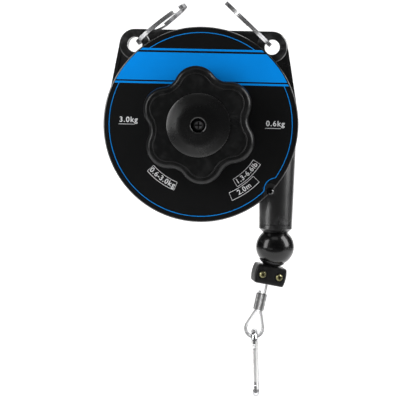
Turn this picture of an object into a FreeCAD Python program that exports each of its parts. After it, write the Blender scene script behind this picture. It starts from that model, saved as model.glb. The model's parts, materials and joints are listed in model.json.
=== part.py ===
"""Spring tool balancer with a front tension knob, hung by two split rings.

Units are millimetres. +X is to the right and +Z is up as the face is seen; the face looks
along -Y. The origin is midway between the two hanging eyes, in the plane of the rope.
"""
import FreeCAD, Part
import math
import os

Vec = FreeCAD.Vector

# ---------------------------------------------------------------- driving sizes
# casing
eye_spacing = 104.0        # centre to centre of the two hanging eyes
eye_beyond_shell = 5.67    # how much farther from the drum axis the eyes are than the shell
eye_hole_d = 11.5
ear_r = 11.7
ear_boss_depth = 12.0      # thickness of the boss round each eye
ear_web_depth = 8.0        # thickness of the plate between the bosses
shell_r = 73.35            # casing and cover radius
shell_wall = 2.6
floor_wall = 3.0
cover_face_y = -18.0       # front of the cover rim
parting_y = -8.0           # where cover and rear housing meet
rear_y = 24.0              # back of the rear housing wall
rear_boss_rise = 1.2       # the rear boss stands out this far
rear_boss_r = 26.0
cover_boss_r = 13.0
cover_boss_rise = 2.5
rear_boss_wall = 3.2       # wall of the inner boss round the rear bush
floor_rib_depth = 5.0
lip_depth = 2.0            # locating lip of the cover inside the housing wall
lip_wall = 1.4
fit_gap = 0.15             # clearance of pieces that locate in each other
running_gap = 0.05         # radial clearance of running shafts

# label
label_t = 0.3
label_recess = 0.6
label_rim = 0.8            # cover rim left standing round the label
label_screw_gap = 3.1      # label edge to the edge of the front screw recess

# guide tube and its end
tube_end_r = 12.5
tube_draft_deg = 1.2
tube_bore_r = 9.5
tube_top_down = 12.0       # the tube starts this far below the drum axis, inside the shell
tube_beyond_shell = 1.15   # the tube ends this far below the shell
cap_straight = 3.2
cap_length = 6.1
cap_mouth_edge = 0.4
cap_seam = 0.35            # chamfer that shows where the cap meets the tube
cap_spigot = 8.0
cap_spigot_wall = 2.2
bush_r = 5.0
bush_flange_r = 6.4
bush_flange_t = 1.2
bush_rope_gap = 0.35       # clearance of the rope in its bush

# rope and drum
rope_d = 1.9
lead_y = 4.31              # the rope leaves the full drum this far behind its guide
guide_rise = 5.0           # the rope is straight below this height above the tube end
wound_half_turns = 12      # half turns of rope on the full drum; the last one never leaves it
rope_pitch = 2.4
groove_gap = 0.2
groove_open = 0.5          # rope centre line above the crests between the grooves
groove_lead_in = 16.0      # degrees of groove before the rope reaches it
groove_overrun = 2.0       # degrees the groove tools run past each half turn
drum_screw_gap = 1.8       # drum flange to the cover screws' pillars
drum_rim_wall = 4.4
flange_rise = 3.0
flange_t = 1.1
drum_web_t = 3.0
drum_lid_t = 2.0
drum_lid_step = 1.6        # seat of the lid inside the drum
drum_window_r = 8.0
drum_windows = 6
drum_hub_r = 15.0
anchor_r = 1.35
anchor_length = 5.0

# mainspring
spring_strip_t = 0.45
spring_side_gap = 0.5
spring_turns = 12
spring_tab = 2.6
spring_pin_r = 1.2
spring_pin_inset = 2.2     # spring pin inside the drum's inner wall

# arbor, bushes and brake
arbor_neck_r = 8.0
arbor_flange_r = 12.2
arbor_flange_t = 1.6
front_journal_r = 9.0
arbor_core_r = 15.4
rear_journal_r = 8.0
arbor_pin_r = 6.0
journal_bush_wall = 2.4
journal_bush_length = 4.0
rear_bush_wall = 2.2
rear_bush_sink = 1.0       # the rear bush ends this far inside the floor
arbor_chamfer = 0.4
hex_af = 12.4              # hexagon end of the arbor, across flats
washer_t = 0.8
washer_r = 12.0
disc_spring_t = 0.9
disc_spring_height = 1.7
thrust_washer_t = 0.8

# knob
knob_tip_r = 43.9          # centre to the top of a lobe
knob_lobe_depth = 7.15     # a valley is this much nearer the centre than a lobe
knob_valley_round = 12.2   # radius of a valley
knob_lobes = 6
knob_phase_deg = 5.8       # the knob's rest turn, counter-clockwise from a lobe straight up
knob_back_gap = 2.3        # knob rim to the label
knob_face_y = -38.0
knob_wall = 2.8
knob_rib_t = 1.8
knob_hub_r = 12.6
knob_screw_seat = 4.0      # depth of the screw seat below the knob face
dome_r = 23.6
dome_rise = 4.6
dome_edge = 1.0
dome_seat = 1.6
dome_hole_r = 5.4

# screws
m3_r = 1.5
m3_head_r = 2.75
m3_head_t = 2.0
m3_nut_af = 5.5
m3_nut_t = 2.4
m5_r = 2.5
m5_head_r = 4.6
m5_head_t = 3.4
screw_hole_gap = 0.2       # clearance round the shank of a screw
screw_head_gap = 0.4       # clearance round its head
screw_bite_gap = 0.05      # screws this much thinner than the thread they cut, which is not modelled
cover_screw_inset = 7.15   # cover screws inside the edge of the shell
cover_screw_angles = (22.0, 94.0, 166.0, 238.0)
cover_pillar_r = 3.9
cover_screw_length = 16.0
cover_screw_bite = 7.0     # thread held in the cover
tube_screw_length = 5.2
tube_screw_boss_r = 4.6
tube_screw_inset = 0.715   # tube screw inside the edge of the shell
tube_screw_inward = 4.2    # and this far inside the tube's centre line
tube_screw_recess = 3.2
tube_screw_land = 1.4      # cover left under the screw head

# stop ball
ball_r = 14.45
ball_gap = 0.15            # ball to its seat in the end cap and to the clamp seat
ball_rope_r = 1.5
ball_socket_r = 8.0
ball_socket_depth = 2.4
ball_half_gap = 0.2        # groove line between the ball halves
tail_swing_deg = 18.0      # each way from straight down

# rope end: seat, clamp, ferrule, thimble
tail_tilt_deg = 11.0       # the tail hangs this far to the left of straight down
seat_top = 11.2            # below the ball centre
seat_bottom_r = 5.6
clamp_top = 14.7
clamp_height = 14.3
clamp_width = 22.4
clamp_bulge = 1.1
clamp_half_depth = 7.0
clamp_corner_r = 1.6
clamp_turn_deg = 16.0      # the clamp is twisted this far round the rope, its left side to the front
clamp_screw_spacing = 13.2
clamp_screw_down = 21.9
clamp_recess = 0.8
clamp_nut_sink = 0.3
rope_grip_gap = 0.02       # round the rope where the clamp and the ferrule hold it
ferrule_top = 37.3
ferrule_length = 12.9
ferrule_barrel_r = 2.1
ferrule_pitch = 3.9
ferrule_web = 2.8
stub_length = 1.9
thimble_gap = 0.5          # ferrule to thimble
thimble_bend_r = 6.75      # rope centre line
thimble_bend_down = 14.6   # ferrule end to bend centre
thimble_sheet = 0.55
thimble_hold_gap = 0.06
thimble_flange = 0.95
rope_kink_r = 5.0

# snap hook
hook_wire_d = 4.7
hook_length = 52.6
hook_top_r = 5.6           # bend radii of the wire centre line
hook_bottom_r = 7.4
hook_tilt_deg = 3.0        # leans to the right
hook_gap = 0.15
hook_set_back = 0.4        # the hook's mid depth behind the rope
hook_tongue_t = 1.7
gate_over_wire = 0.1       # the gate is this much thicker than the wire, in radius
gate_wall = 0.9
gate_head = 5.0            # solid length of the gate below its pin
gate_foot = 7.0            # and above its lower end
gate_slot_length = 6.2     # slot for the tongue
gate_nose_room = 2.1       # slot past the nose
gate_slot_gap = 0.15
gate_hinge_down = 10.6
gate_end_down = 45.6
gate_nose_overlap = 3.6    # gate over the nose
gate_nose_gap = 1.7        # gate end to the end of the round wire
gate_wire_gap = 2.4        # pin to the end of the round wire
gate_top_rise = 1.6        # gate above its pin
gate_pin_r = 0.8
gate_pin_sink = 0.2        # pin ends below the gate's sides
gate_spring_wire_d = 0.4
gate_spring_turns = 6
gate_spring_length = 12.0
gate_spring_gap = 0.15

# split rings
ring_inner_d = 41.0
ring_strip = 3.0           # radial width of the wire
ring_wire_t = 1.4
ring_seat_gap = 0.2
ring_lean_left_deg = 39.0  # above horizontal, towards the middle
ring_lean_right_deg = 42.5
ring_coil_gap = 0.12
ring_cross_deg = 24.0      # the wire steps across to its second turn over this angle
ring_ends_deg = 100.0      # where on the ring its two ends are

# ---------------------------------------------------------------- worked-out places
eye_x = eye_spacing / 2
eye_rise = math.sqrt((shell_r + eye_beyond_shell) ** 2 - eye_x ** 2)
axis_z = -eye_rise
tube_length = shell_r + tube_beyond_shell
cover_screw_circle_r = shell_r - cover_screw_inset
drum_flange_r = cover_screw_circle_r - cover_pillar_r - drum_screw_gap
drum_crest_r = drum_flange_r - flange_rise
rope_line_r = drum_crest_r + groove_open
drum_inner_r = drum_crest_r - drum_rim_wall
spring_pin_circle_r = drum_inner_r - spring_pin_inset
rear_boss_y = rear_y + rear_boss_rise
cavity_front = cover_face_y + floor_wall
cavity_back = rear_y - floor_wall
cavity_r = shell_r - shell_wall
label_front = cover_face_y + label_recess - label_t
rope_r = rope_d / 2
groove_end_y = lead_y - wound_half_turns * rope_pitch / 2
drum_front = groove_end_y - rope_r - groove_gap - flange_t
drum_back = lead_y + rope_r + groove_gap + flange_t
spring_front = drum_front + drum_lid_t + spring_side_gap
spring_back = drum_back - drum_web_t - spring_side_gap
core_front = drum_front + journal_bush_length + 0.3
core_back = drum_back - journal_bush_length - 0.3
boss_front = cover_face_y - cover_boss_rise
hub_back = boss_front - washer_t - disc_spring_height
arbor_flange_y = cavity_front + washer_t
arbor_flange_back = arbor_flange_y + arbor_flange_t
arbor_rear_shoulder = drum_back + thrust_washer_t
rear_bush_back = cavity_back - rear_bush_sink
arbor_back = rear_bush_back - 0.2
rear_inner_boss_y = arbor_rear_shoulder
tube_x = rope_line_r
tube_end_z = axis_z - tube_length
cap_end_z = tube_end_z - cap_length
ball_z = cap_end_z - math.sqrt((ball_r + ball_gap) ** 2
                               - (tube_end_r - (cap_length - cap_straight) - cap_mouth_edge) ** 2)
ball_centre = Vec(tube_x, 0, ball_z)
knob_back_y = label_front - knob_back_gap
screw_seat_y = knob_face_y + knob_screw_seat
arbor_nose_y = screw_seat_y + 3.0
tube_screw_x = tube_x - tube_screw_inward
tube_screw_z = axis_z - math.sqrt((shell_r - tube_screw_inset) ** 2 - tube_screw_x ** 2)
tube_screw_seat_y = cover_face_y + tube_screw_recess
tube_screw_boss_y = tube_screw_seat_y + tube_screw_land
cover_screw_seat_y = parting_y + cover_screw_length - cover_screw_bite
rear_pivot_boss_r = arbor_pin_r + rear_bush_wall + rear_boss_wall
loop_centre_u = -ferrule_pitch / 2                  # across the tail, from its long strand
loop_top_s = ferrule_top + ferrule_length + thimble_gap
loop_bend_s = ferrule_top + ferrule_length + thimble_bend_down
loop_leg_reach = math.hypot(loop_centre_u, loop_bend_s - loop_top_s)
loop_away = math.asin(thimble_bend_r / loop_leg_reach) - math.asin(-loop_centre_u / loop_leg_reach)


# ---------------------------------------------------------------- helpers
def turned(profile, x=0.0, z=axis_z):
    """A solid turned round the Y axis through (x, z); the profile is (radius, y) points."""
    points = [Vec(x + r, y, z) for r, y in profile]
    face = Part.Face(Part.makePolygon(points + points[:1]))
    return face.revolve(Vec(x, 0, z), Vec(0, 1, 0), 360)


def rod(r, y0, y1, x=0.0, z=axis_z):
    return Part.makeCylinder(r, y1 - y0, Vec(x, y0, z), Vec(0, 1, 0))


def tube(r_out, r_in, y0, y1, x=0.0, z=axis_z):
    return rod(r_out, y0, y1, x, z).cut(rod(r_in, y0 - 1, y1 + 1, x, z))


def upright(r, z0, z1, x=tube_x, y=0.0):
    return Part.makeCylinder(r, z1 - z0, Vec(x, y, z0))


def polar(r, angle_deg, x=0.0, z=axis_z):
    a = math.radians(angle_deg)
    return x + r * math.cos(a), z + r * math.sin(a)


def hexagon(across_flats, y0, y1, x=0.0, z=axis_z):
    corner = across_flats / 2 / math.cos(math.radians(30))
    points = [Vec(x + corner * math.cos(math.radians(60 * k)), y0,
                  z + corner * math.sin(math.radians(60 * k))) for k in range(7)]
    return Part.Face(Part.makePolygon(points)).extrude(Vec(0, y1 - y0, 0))


def arc(a, middle, b):
    return Part.Arc(a, middle, b).toShape()


def line(a, b):
    return Part.LineSegment(a, b).toShape()


def prism(edges, depth):
    return Part.Face(Part.Wire(edges)).extrude(depth)


def disc_face(centre, normal, r):
    return Part.Face(Part.Wire(Part.Circle(centre, normal, r).toShape()))


def follow(face, moves):
    """A section carried along a path. A move is a vector, or (centre, axis, degrees) of a bend."""
    stretches = []
    for move in moves:
        if isinstance(move, Vec):
            stretches.append(face.extrude(move))
            face = face.translated(move)
        else:
            stretches.append(face.revolve(*move))
            face = face.rotated(*move)
    return cleaned(stretches[0].fuse(stretches[1:]))


def rounded_moves(points, r):
    """Moves along straight runs joined by tangent arcs of radius r."""
    moves = []
    start = points[0]
    for here, after in zip(points[1:-1], points[2:]):
        into = (here - start).normalize()
        out = (after - here).normalize()
        turn = into.getAngle(out)
        back = r * math.tan(turn / 2)
        bend_start = here - into * back
        axis = into.cross(out).normalize()
        moves += [bend_start - start, (bend_start + axis.cross(into) * r, axis, math.degrees(turn))]
        start = here + out * back
    return moves + [points[-1] - start]


def coil_moves(centre, along, out, up, r, step, half_turns):
    """Half turns in slightly leaning planes, each running on from the one before without a kink."""
    moves = []
    for k in range(half_turns):
        side = 1 if k % 2 == 0 else -1
        arm = out * (side * r) - along * (step / 2)
        moves.append((centre + along * (step * (k + 0.5)), arm.cross(up * side), 180))
    return moves


def pan_screw(r, length, head_r, head_t, seat):
    """A cross-recess pan head screw pointing along +Y; its head bears at y = seat."""
    head = turned([(0, seat - head_t), (head_r * 0.62, seat - head_t), (head_r * 0.9, seat - head_t * 0.66),
                   (head_r, seat - head_t * 0.25), (head_r, seat), (0, seat)], 0, 0)
    shank = rod(r, seat, seat + length - r * 0.6, 0, 0)
    tip = Part.makeCone(r, r * 0.45, r * 0.6, Vec(0, seat + length - r * 0.6, 0), Vec(0, 1, 0))
    slot_w = head_r * 0.24
    slot_l = head_r * 1.15
    slot_d = head_t * 0.55
    screw = head.fuse([shank, tip])
    for w, h in ((slot_w, slot_l), (slot_l, slot_w)):
        screw = screw.cut(Part.makeBox(w, slot_d, h, Vec(-w / 2, seat - head_t, -h / 2)))
    return screw.removeSplitter()


def placed(shape, x=0.0, y=0.0, z=0.0):
    copy = shape.copy()
    copy.translate(Vec(x, y, z))
    return copy


def cleaned(shape):
    return shape.removeSplitter()


# ---------------------------------------------------------------- casing
def casing_outline(inset, y, depth):
    """Casing seen from the front: the round shell, the two ears and the flat top between them."""
    shell = shell_r - inset
    ear = ear_r - inset
    reach = math.hypot(eye_x, eye_rise)
    tilt = math.atan2(eye_rise, eye_x) - math.acos((shell - ear) / reach)
    nx, nz = math.cos(tilt), math.sin(tilt)
    right = [Vec(eye_x, y, ear), Vec(eye_x + ear * nx, y, ear * nz),
             Vec(shell * nx, y, axis_z + shell * nz)]
    left = [Vec(-p.x, p.y, p.z) for p in reversed(right)]
    corners = right + [Vec(0, y, axis_z)] + left
    middle = Part.Face(Part.makePolygon(corners + corners[:1])).extrude(Vec(0, depth, 0))
    round_shell = rod(shell, y, y + depth)
    ears = [rod(ear, y, y + depth, side * eye_x, 0) for side in (-1, 1)]
    return cleaned(round_shell.fuse([middle] + ears))


def tube_outer(gap=0.0):
    top_z = axis_z - tube_top_down + gap
    end_r = tube_end_r + gap
    top_r = end_r + (top_z - tube_end_z) * math.tan(math.radians(tube_draft_deg))
    return Part.makeCone(end_r, top_r, top_z - tube_end_z, Vec(tube_x, 0, tube_end_z))


def rear_housing():
    edge = 6.0
    cup = turned([(0, rear_y), (shell_r - edge, rear_y), (shell_r - edge * 0.62, rear_y - edge * 0.08),
                  (shell_r - edge * 0.29, rear_y - edge * 0.29),
                  (shell_r - edge * 0.08, rear_y - edge * 0.62),
                  (shell_r, rear_y - edge), (shell_r, parting_y), (0, parting_y)])
    web = casing_outline(0.6, -ear_web_depth / 2, ear_web_depth)
    rim = casing_outline(0, -ear_web_depth / 2 - 1, ear_web_depth + 2)
    rim = rim.cut(casing_outline(2.4, -ear_web_depth / 2 - 2, ear_web_depth + 4))
    bosses = [rod(ear_r, -ear_boss_depth / 2, ear_boss_depth / 2, side * eye_x, 0) for side in (-1, 1)]
    bosses = [b.makeChamfer(0.8, [e for e in b.Edges if len(e.Vertexes) == 1]) for b in bosses]
    rear_boss = turned([(0, rear_y - 1), (rear_boss_r, rear_y - 1), (rear_boss_r, rear_boss_y - 0.5),
                        (rear_boss_r - 0.5, rear_boss_y), (0, rear_boss_y)])
    body = cup.fuse([web, rim, rear_boss, tube_outer()] + bosses)
    body = body.cut([rod(cavity_r, parting_y - 1, cavity_back),
                     upright(tube_bore_r, tube_end_z - 1, axis_z - tube_top_down + 2),
                     rod(cavity_r, cover_face_y - 2, parting_y)])
    inside = [tube(rear_pivot_boss_r, arbor_pin_r + rear_bush_wall, rear_inner_boss_y, cavity_back + 0.5)]
    for angle in cover_screw_angles:
        x, z = polar(cover_screw_circle_r, angle)
        inside.append(rod(cover_pillar_r, parting_y, cavity_back + 0.5, x, z))
    for k in range(6):
        rib = Part.makeBox(cavity_r - rear_pivot_boss_r, floor_rib_depth, 2.0,
                           Vec(rear_pivot_boss_r - 0.5, cavity_back - floor_rib_depth, axis_z - 1))
        rib.rotate(Vec(0, 0, axis_z), Vec(0, 1, 0), -(60 * k + 8))
        inside.append(rib)
    screw_boss = rod(tube_screw_boss_r, tube_screw_boss_y, -tube_bore_r - 0.4, tube_screw_x, tube_screw_z)
    body = body.fuse(inside + [screw_boss])
    holes = [rod(eye_hole_d / 2, -20, 20, side * eye_x, 0) for side in (-1, 1)]
    holes.append(rod(arbor_pin_r + rear_bush_wall, rear_inner_boss_y - 1, rear_bush_back))
    for angle in cover_screw_angles:
        x, z = polar(cover_screw_circle_r, angle)
        holes.append(rod(m3_r + screw_hole_gap, parting_y - 1, rear_y + 1, x, z))
        holes.append(rod(m3_head_r + screw_head_gap, cover_screw_seat_y, rear_y + 1, x, z))
    holes.append(rod(m3_r, tube_screw_boss_y - 1, tube_screw_boss_y + tube_screw_length,
                     tube_screw_x, tube_screw_z))
    return cleaned(body.cut(holes))


def front_cover():
    lip_r = cavity_r - fit_gap
    edge = 1.2
    body = turned([(0, cover_face_y), (shell_r - edge, cover_face_y),
                   (shell_r - edge * 0.29, cover_face_y + edge * 0.29), (shell_r, cover_face_y + edge),
                   (shell_r, parting_y), (lip_r, parting_y),
                   (lip_r, parting_y + lip_depth), (lip_r - lip_wall, parting_y + lip_depth),
                   (lip_r - lip_wall, cavity_front), (0, cavity_front)])
    body = body.cut(rod(shell_r - label_rim, cover_face_y - 1, cover_face_y + label_recess))
    posts = [rod(cover_boss_r, boss_front, cavity_front)]
    for angle in cover_screw_angles:
        x, z = polar(cover_screw_circle_r, angle)
        posts.append(rod(cover_pillar_r, cavity_front - 0.5, parting_y, x, z))
    lug = rod(tube_screw_boss_r + 1.6, cover_face_y + 1, tube_screw_boss_y, tube_screw_x, tube_screw_z)
    lug = lug.common(rod(shell_r, cover_face_y, parting_y))
    body = body.fuse(posts + [lug])
    holes = [tube_outer(fit_gap), upright(tube_bore_r, tube_end_z, axis_z - tube_top_down + 2),
             rod(arbor_neck_r + running_gap, boss_front - 1, cavity_front + 1),
             rod(m3_head_r + screw_head_gap, cover_face_y - 1, tube_screw_seat_y,
                 tube_screw_x, tube_screw_z),
             rod(m3_r + screw_hole_gap, cover_face_y, parting_y, tube_screw_x, tube_screw_z),
             rod(tube_screw_boss_r + fit_gap, tube_screw_boss_y, parting_y + 4, tube_screw_x, tube_screw_z)]
    for angle in cover_screw_angles:
        x, z = polar(cover_screw_circle_r, angle)
        holes.append(rod(m3_r, parting_y - cover_screw_bite - 0.5, parting_y + 1, x, z))
        holes.append(rod(cover_pillar_r + fit_gap, parting_y, parting_y + lip_depth + 1, x, z))
    body = body.cut(holes)
    solids = sorted(body.Solids, key=lambda s: s.Volume)
    return cleaned(solids[-1])


def face_label():
    back = cover_face_y + label_recess
    disc = rod(shell_r - label_rim - fit_gap, label_front, back)
    clear_r = m3_head_r + screw_head_gap + label_screw_gap
    return disc.cut([rod(cover_boss_r + fit_gap, label_front - 1, back + 1),
                     rod(clear_r, label_front - 1, back + 1, tube_screw_x, tube_screw_z)])


def cover_screws():
    screws = []
    for angle in cover_screw_angles:
        x, z = polar(cover_screw_circle_r, angle)
        screw = pan_screw(m3_r - screw_bite_gap, cover_screw_length, m3_head_r, m3_head_t, 0)
        screw.rotate(Vec(0, 0, 0), Vec(0, 0, 1), 180)
        screws.append(placed(screw, x, cover_screw_seat_y, z))
    return Part.makeCompound(screws)


def tube_screw():
    screw = pan_screw(m3_r - screw_bite_gap, tube_screw_length, m3_head_r, m3_head_t, tube_screw_seat_y)
    return placed(screw, tube_screw_x, 0, tube_screw_z)


def tube_end_cap():
    mouth = tube_end_r - (cap_length - cap_straight)
    spigot_r = tube_bore_r - fit_gap
    outline = [(bush_r, tube_end_z + cap_spigot), (spigot_r - 0.6, tube_end_z + cap_spigot),
               (spigot_r, tube_end_z + cap_spigot - 0.6), (spigot_r, tube_end_z),
               (tube_end_r - cap_seam, tube_end_z), (tube_end_r, tube_end_z - cap_seam),
               (tube_end_r, tube_end_z - cap_straight),
               (mouth, cap_end_z), (bush_r, cap_end_z)]
    points = [Vec(tube_x + r, 0, z) for r, z in outline]
    cap = Part.Face(Part.makePolygon(points + points[:1])).revolve(Vec(tube_x, 0, 0), Vec(0, 0, 1), 360)
    hollow = tube_bore_r - cap_spigot_wall
    cap = cap.cut([Part.makeSphere(ball_r + ball_gap, ball_centre),
                   upright(hollow, tube_end_z + 3.0, tube_end_z + cap_spigot + 1)])
    return cleaned(cap)


def rope_bush():
    top = tube_end_z + 3.0
    bottom = ball_z + ball_r + 0.6
    bore_r = rope_r + bush_rope_gap
    outline = [(bore_r, top), (bore_r + bush_flange_t, top + bush_flange_t),
               (bush_flange_r, top + bush_flange_t), (bush_flange_r, top), (bush_r - 0.02, top),
               (bush_r - 0.02, bottom), (bore_r, bottom)]
    points = [Vec(tube_x + r, 0, z) for r, z in outline]
    return Part.Face(Part.makePolygon(points + points[:1])).revolve(Vec(tube_x, 0, 0), Vec(0, 0, 1), 360)


# ---------------------------------------------------------------- drum and mainspring
def winding(section_r):
    """The rope leaves upwards on the right, so it climbs the drum counter-clockwise."""
    moves = coil_moves(Vec(0, lead_y, axis_z), Vec(0, -1, 0), Vec(1, 0, 0), Vec(0, 0, 1),
                       rope_line_r, rope_pitch / 2, wound_half_turns)
    return follow(disc_face(Vec(rope_line_r, lead_y, axis_z), Vec(0, 0, 1), section_r), moves)


def groove_half(side):
    """The grooves above the drum axis (side +1) or below it (-1), each run a little past its ends."""
    centre = Vec(0, lead_y, axis_z)
    moves = coil_moves(centre, Vec(0, -1, 0), Vec(1, 0, 0), Vec(0, 0, 1), rope_line_r, rope_pitch / 2,
                       wound_half_turns)
    face = disc_face(Vec(rope_line_r, lead_y, axis_z), Vec(0, 0, 1), rope_r + groove_gap)
    runs = []
    if side < 0:
        middle, axis, degrees = moves[0]
        first = face.rotated(middle, axis, -groove_lead_in)
        runs.append(first.revolve(middle, axis, groove_lead_in + groove_overrun))
    for k, (middle, axis, degrees) in enumerate(moves):
        if (side > 0) == (k % 2 == 0):
            early = face.rotated(middle, axis, -groove_overrun)
            runs.append(early.revolve(middle, axis, degrees + 2 * groove_overrun))
        face = face.rotated(middle, axis, degrees)
    return runs


def drum():
    lip = drum_front + drum_lid_t
    lid_r = drum_inner_r + drum_lid_step
    hub_r = rear_journal_r + running_gap + journal_bush_wall
    body = turned([(hub_r, drum_back), (drum_flange_r, drum_back), (drum_flange_r, drum_back - flange_t),
                   (drum_crest_r, drum_back - flange_t), (drum_crest_r, drum_front + flange_t),
                   (drum_flange_r, drum_front + flange_t), (drum_flange_r, drum_front),
                   (lid_r, drum_front), (lid_r, lip), (drum_inner_r, lip),
                   (drum_inner_r, drum_back - drum_web_t), (drum_hub_r, drum_back - drum_web_t),
                   (drum_hub_r, drum_back - journal_bush_length), (hub_r, drum_back - journal_bush_length)])
    for k in range(drum_windows):
        x, z = polar((drum_inner_r + drum_hub_r) / 2, 360 / drum_windows * k)
        body = body.cut(rod(drum_window_r, drum_back - drum_web_t - 1, drum_back + 1, x, z))
    place, onward = anchor_place()
    pocket = Part.makeCylinder(anchor_r + running_gap, anchor_length + 0.2, place, onward)
    body = body.cut([pocket, spring_anchor_pin(running_gap)])
    size = 2 * drum_flange_r + 2
    halves = []
    for side in (-1, 1):
        corner = Vec(-size / 2, drum_front - 1, axis_z if side > 0 else axis_z - size)
        half = body.common(Part.makeBox(size, drum_back - drum_front + 2, size, corner))
        halves.append(half.cut(groove_half(side)))
    return cleaned(halves[0].fuse(halves[1]))


def anchor_place():
    """Where the winding ends on the drum, and the way the rope would run on."""
    side = 1 if wound_half_turns % 2 == 0 else -1
    return Vec(side * rope_line_r, groove_end_y, axis_z), Vec(0, 0, side)


def rope_anchor():
    place, onward = anchor_place()
    return Part.makeCylinder(anchor_r, anchor_length, place + onward * running_gap, onward)


def drum_lid():
    hub_r = front_journal_r + running_gap + journal_bush_wall
    back = drum_front + journal_bush_length
    lid_r = drum_inner_r + drum_lid_step - fit_gap
    lid = turned([(hub_r, drum_front), (lid_r, drum_front), (lid_r, drum_front + drum_lid_t),
                  (drum_hub_r, drum_front + drum_lid_t), (drum_hub_r, back), (hub_r, back)])
    return cleaned(lid.cut(spring_anchor_pin(running_gap)))


def spring_anchor_pin(extra):
    x, z = polar(spring_pin_circle_r, 0)
    return rod(spring_pin_r + extra, drum_front + 0.3 - extra, drum_back - 0.6 + extra, x, z)


def mainspring():
    """A flat strip wound in half circles whose radius grows by half the pitch each time."""
    inner = arbor_core_r + 0.15 + spring_strip_t / 2
    outer = spring_pin_circle_r - spring_pin_r - running_gap - spring_strip_t
    step = (outer - inner) / (2 * spring_turns)
    side_edges = {}
    for side in (-1, 1):
        edges = []
        x = inner
        for half in range(2 * spring_turns):
            r = inner + step * (half + 0.5)
            centre = x - r if half % 2 == 0 else x + r
            r_side = r + side * spring_strip_t / 2
            sign = 1 if half % 2 == 0 else -1
            a = Vec(centre + sign * r_side, 0, 0)
            middle = Vec(centre, 0, sign * r_side)
            b = Vec(centre - sign * r_side, 0, 0)
            edges.append((a, middle, b))
            x = centre - sign * r
        side_edges[side] = edges
    inner_side, outer_side = side_edges[-1], side_edges[1]
    edges = [arc(*e) for e in inner_side] + [arc(*e) for e in outer_side]
    edges.append(line(inner_side[0][0], outer_side[0][0]))
    edges.append(line(inner_side[-1][2], outer_side[-1][2]))
    strip = Part.Face(Part.Wire(Part.__sortEdges__(edges))).extrude(Vec(0, spring_back - spring_front, 0))
    strip.translate(Vec(0, spring_front, axis_z))
    tab = Part.makeBox(spring_tab + spring_strip_t, core_back - core_front - 0.6, spring_strip_t,
                       Vec(inner - spring_tab, core_front + 0.3, axis_z - spring_strip_t))
    end_x = side_edges[1][-1][2].x
    pin_gap_r = spring_pin_r + running_gap
    eye = tube(pin_gap_r + spring_strip_t, pin_gap_r, spring_front, spring_back, spring_pin_circle_r)
    link_start = end_x - spring_strip_t / 2
    link_end = spring_pin_circle_r - pin_gap_r - running_gap
    link = Part.makeBox(link_end - link_start, spring_back - spring_front, spring_strip_t,
                        Vec(link_start, spring_front, axis_z - spring_strip_t))
    return cleaned(strip.fuse([tab, eye, link]))


def journal_bushes():
    front = tube(front_journal_r + running_gap + journal_bush_wall, front_journal_r + running_gap,
                 drum_front, drum_front + journal_bush_length)
    rear = tube(rear_journal_r + running_gap + journal_bush_wall, rear_journal_r + running_gap,
                drum_back - journal_bush_length, drum_back)
    return Part.makeCompound([front, rear])


# ---------------------------------------------------------------- arbor and brake
def arbor():
    body = turned([(0, arbor_nose_y + 4), (5.5, arbor_nose_y + 4), (5.5, hub_back), (arbor_neck_r, hub_back),
                   (arbor_neck_r, arbor_flange_y), (arbor_flange_r, arbor_flange_y),
                   (arbor_flange_r, arbor_flange_back), (front_journal_r, arbor_flange_back),
                   (front_journal_r, core_front), (arbor_core_r, core_front), (arbor_core_r, core_back),
                   (rear_journal_r, core_back), (rear_journal_r, arbor_rear_shoulder - 0.2),
                   (arbor_pin_r, arbor_rear_shoulder - 0.2), (arbor_pin_r, arbor_back - arbor_chamfer),
                   (arbor_pin_r - arbor_chamfer, arbor_back), (0, arbor_back)])
    body = body.fuse(hexagon(hex_af, arbor_nose_y, hub_back))
    slot = Part.makeBox(spring_tab + 0.4, core_back - core_front + 2, spring_strip_t + 0.3,
                        Vec(arbor_core_r - spring_tab - 0.2, core_front - 1, axis_z - spring_strip_t - 0.15))
    return cleaned(body.cut([slot, rod(m5_r, arbor_nose_y - 1, hub_back + 8)]))


def rear_bush():
    return tube(arbor_pin_r + rear_bush_wall, arbor_pin_r + running_gap, rear_inner_boss_y, rear_bush_back)


def friction_washers():
    outer = tube(washer_r, arbor_neck_r + 0.2, boss_front - washer_t, boss_front)
    inner = tube(washer_r, arbor_neck_r + 0.2, cavity_front, arbor_flange_y)
    return Part.makeCompound([outer, inner])


def disc_spring():
    front = hub_back
    back = boss_front - washer_t
    r_in = arbor_neck_r + 0.3
    r_out = washer_r - 0.4
    return turned([(r_in, front), (r_in + 0.4, front), (r_out, back - disc_spring_t), (r_out, back),
                   (r_out - 0.4, back), (r_in, front + disc_spring_t)])


def thrust_washer():
    return tube(rear_journal_r + running_gap + journal_bush_wall, rear_journal_r + 0.2,
                drum_back + 0.05, rear_inner_boss_y - 0.05)


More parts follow.
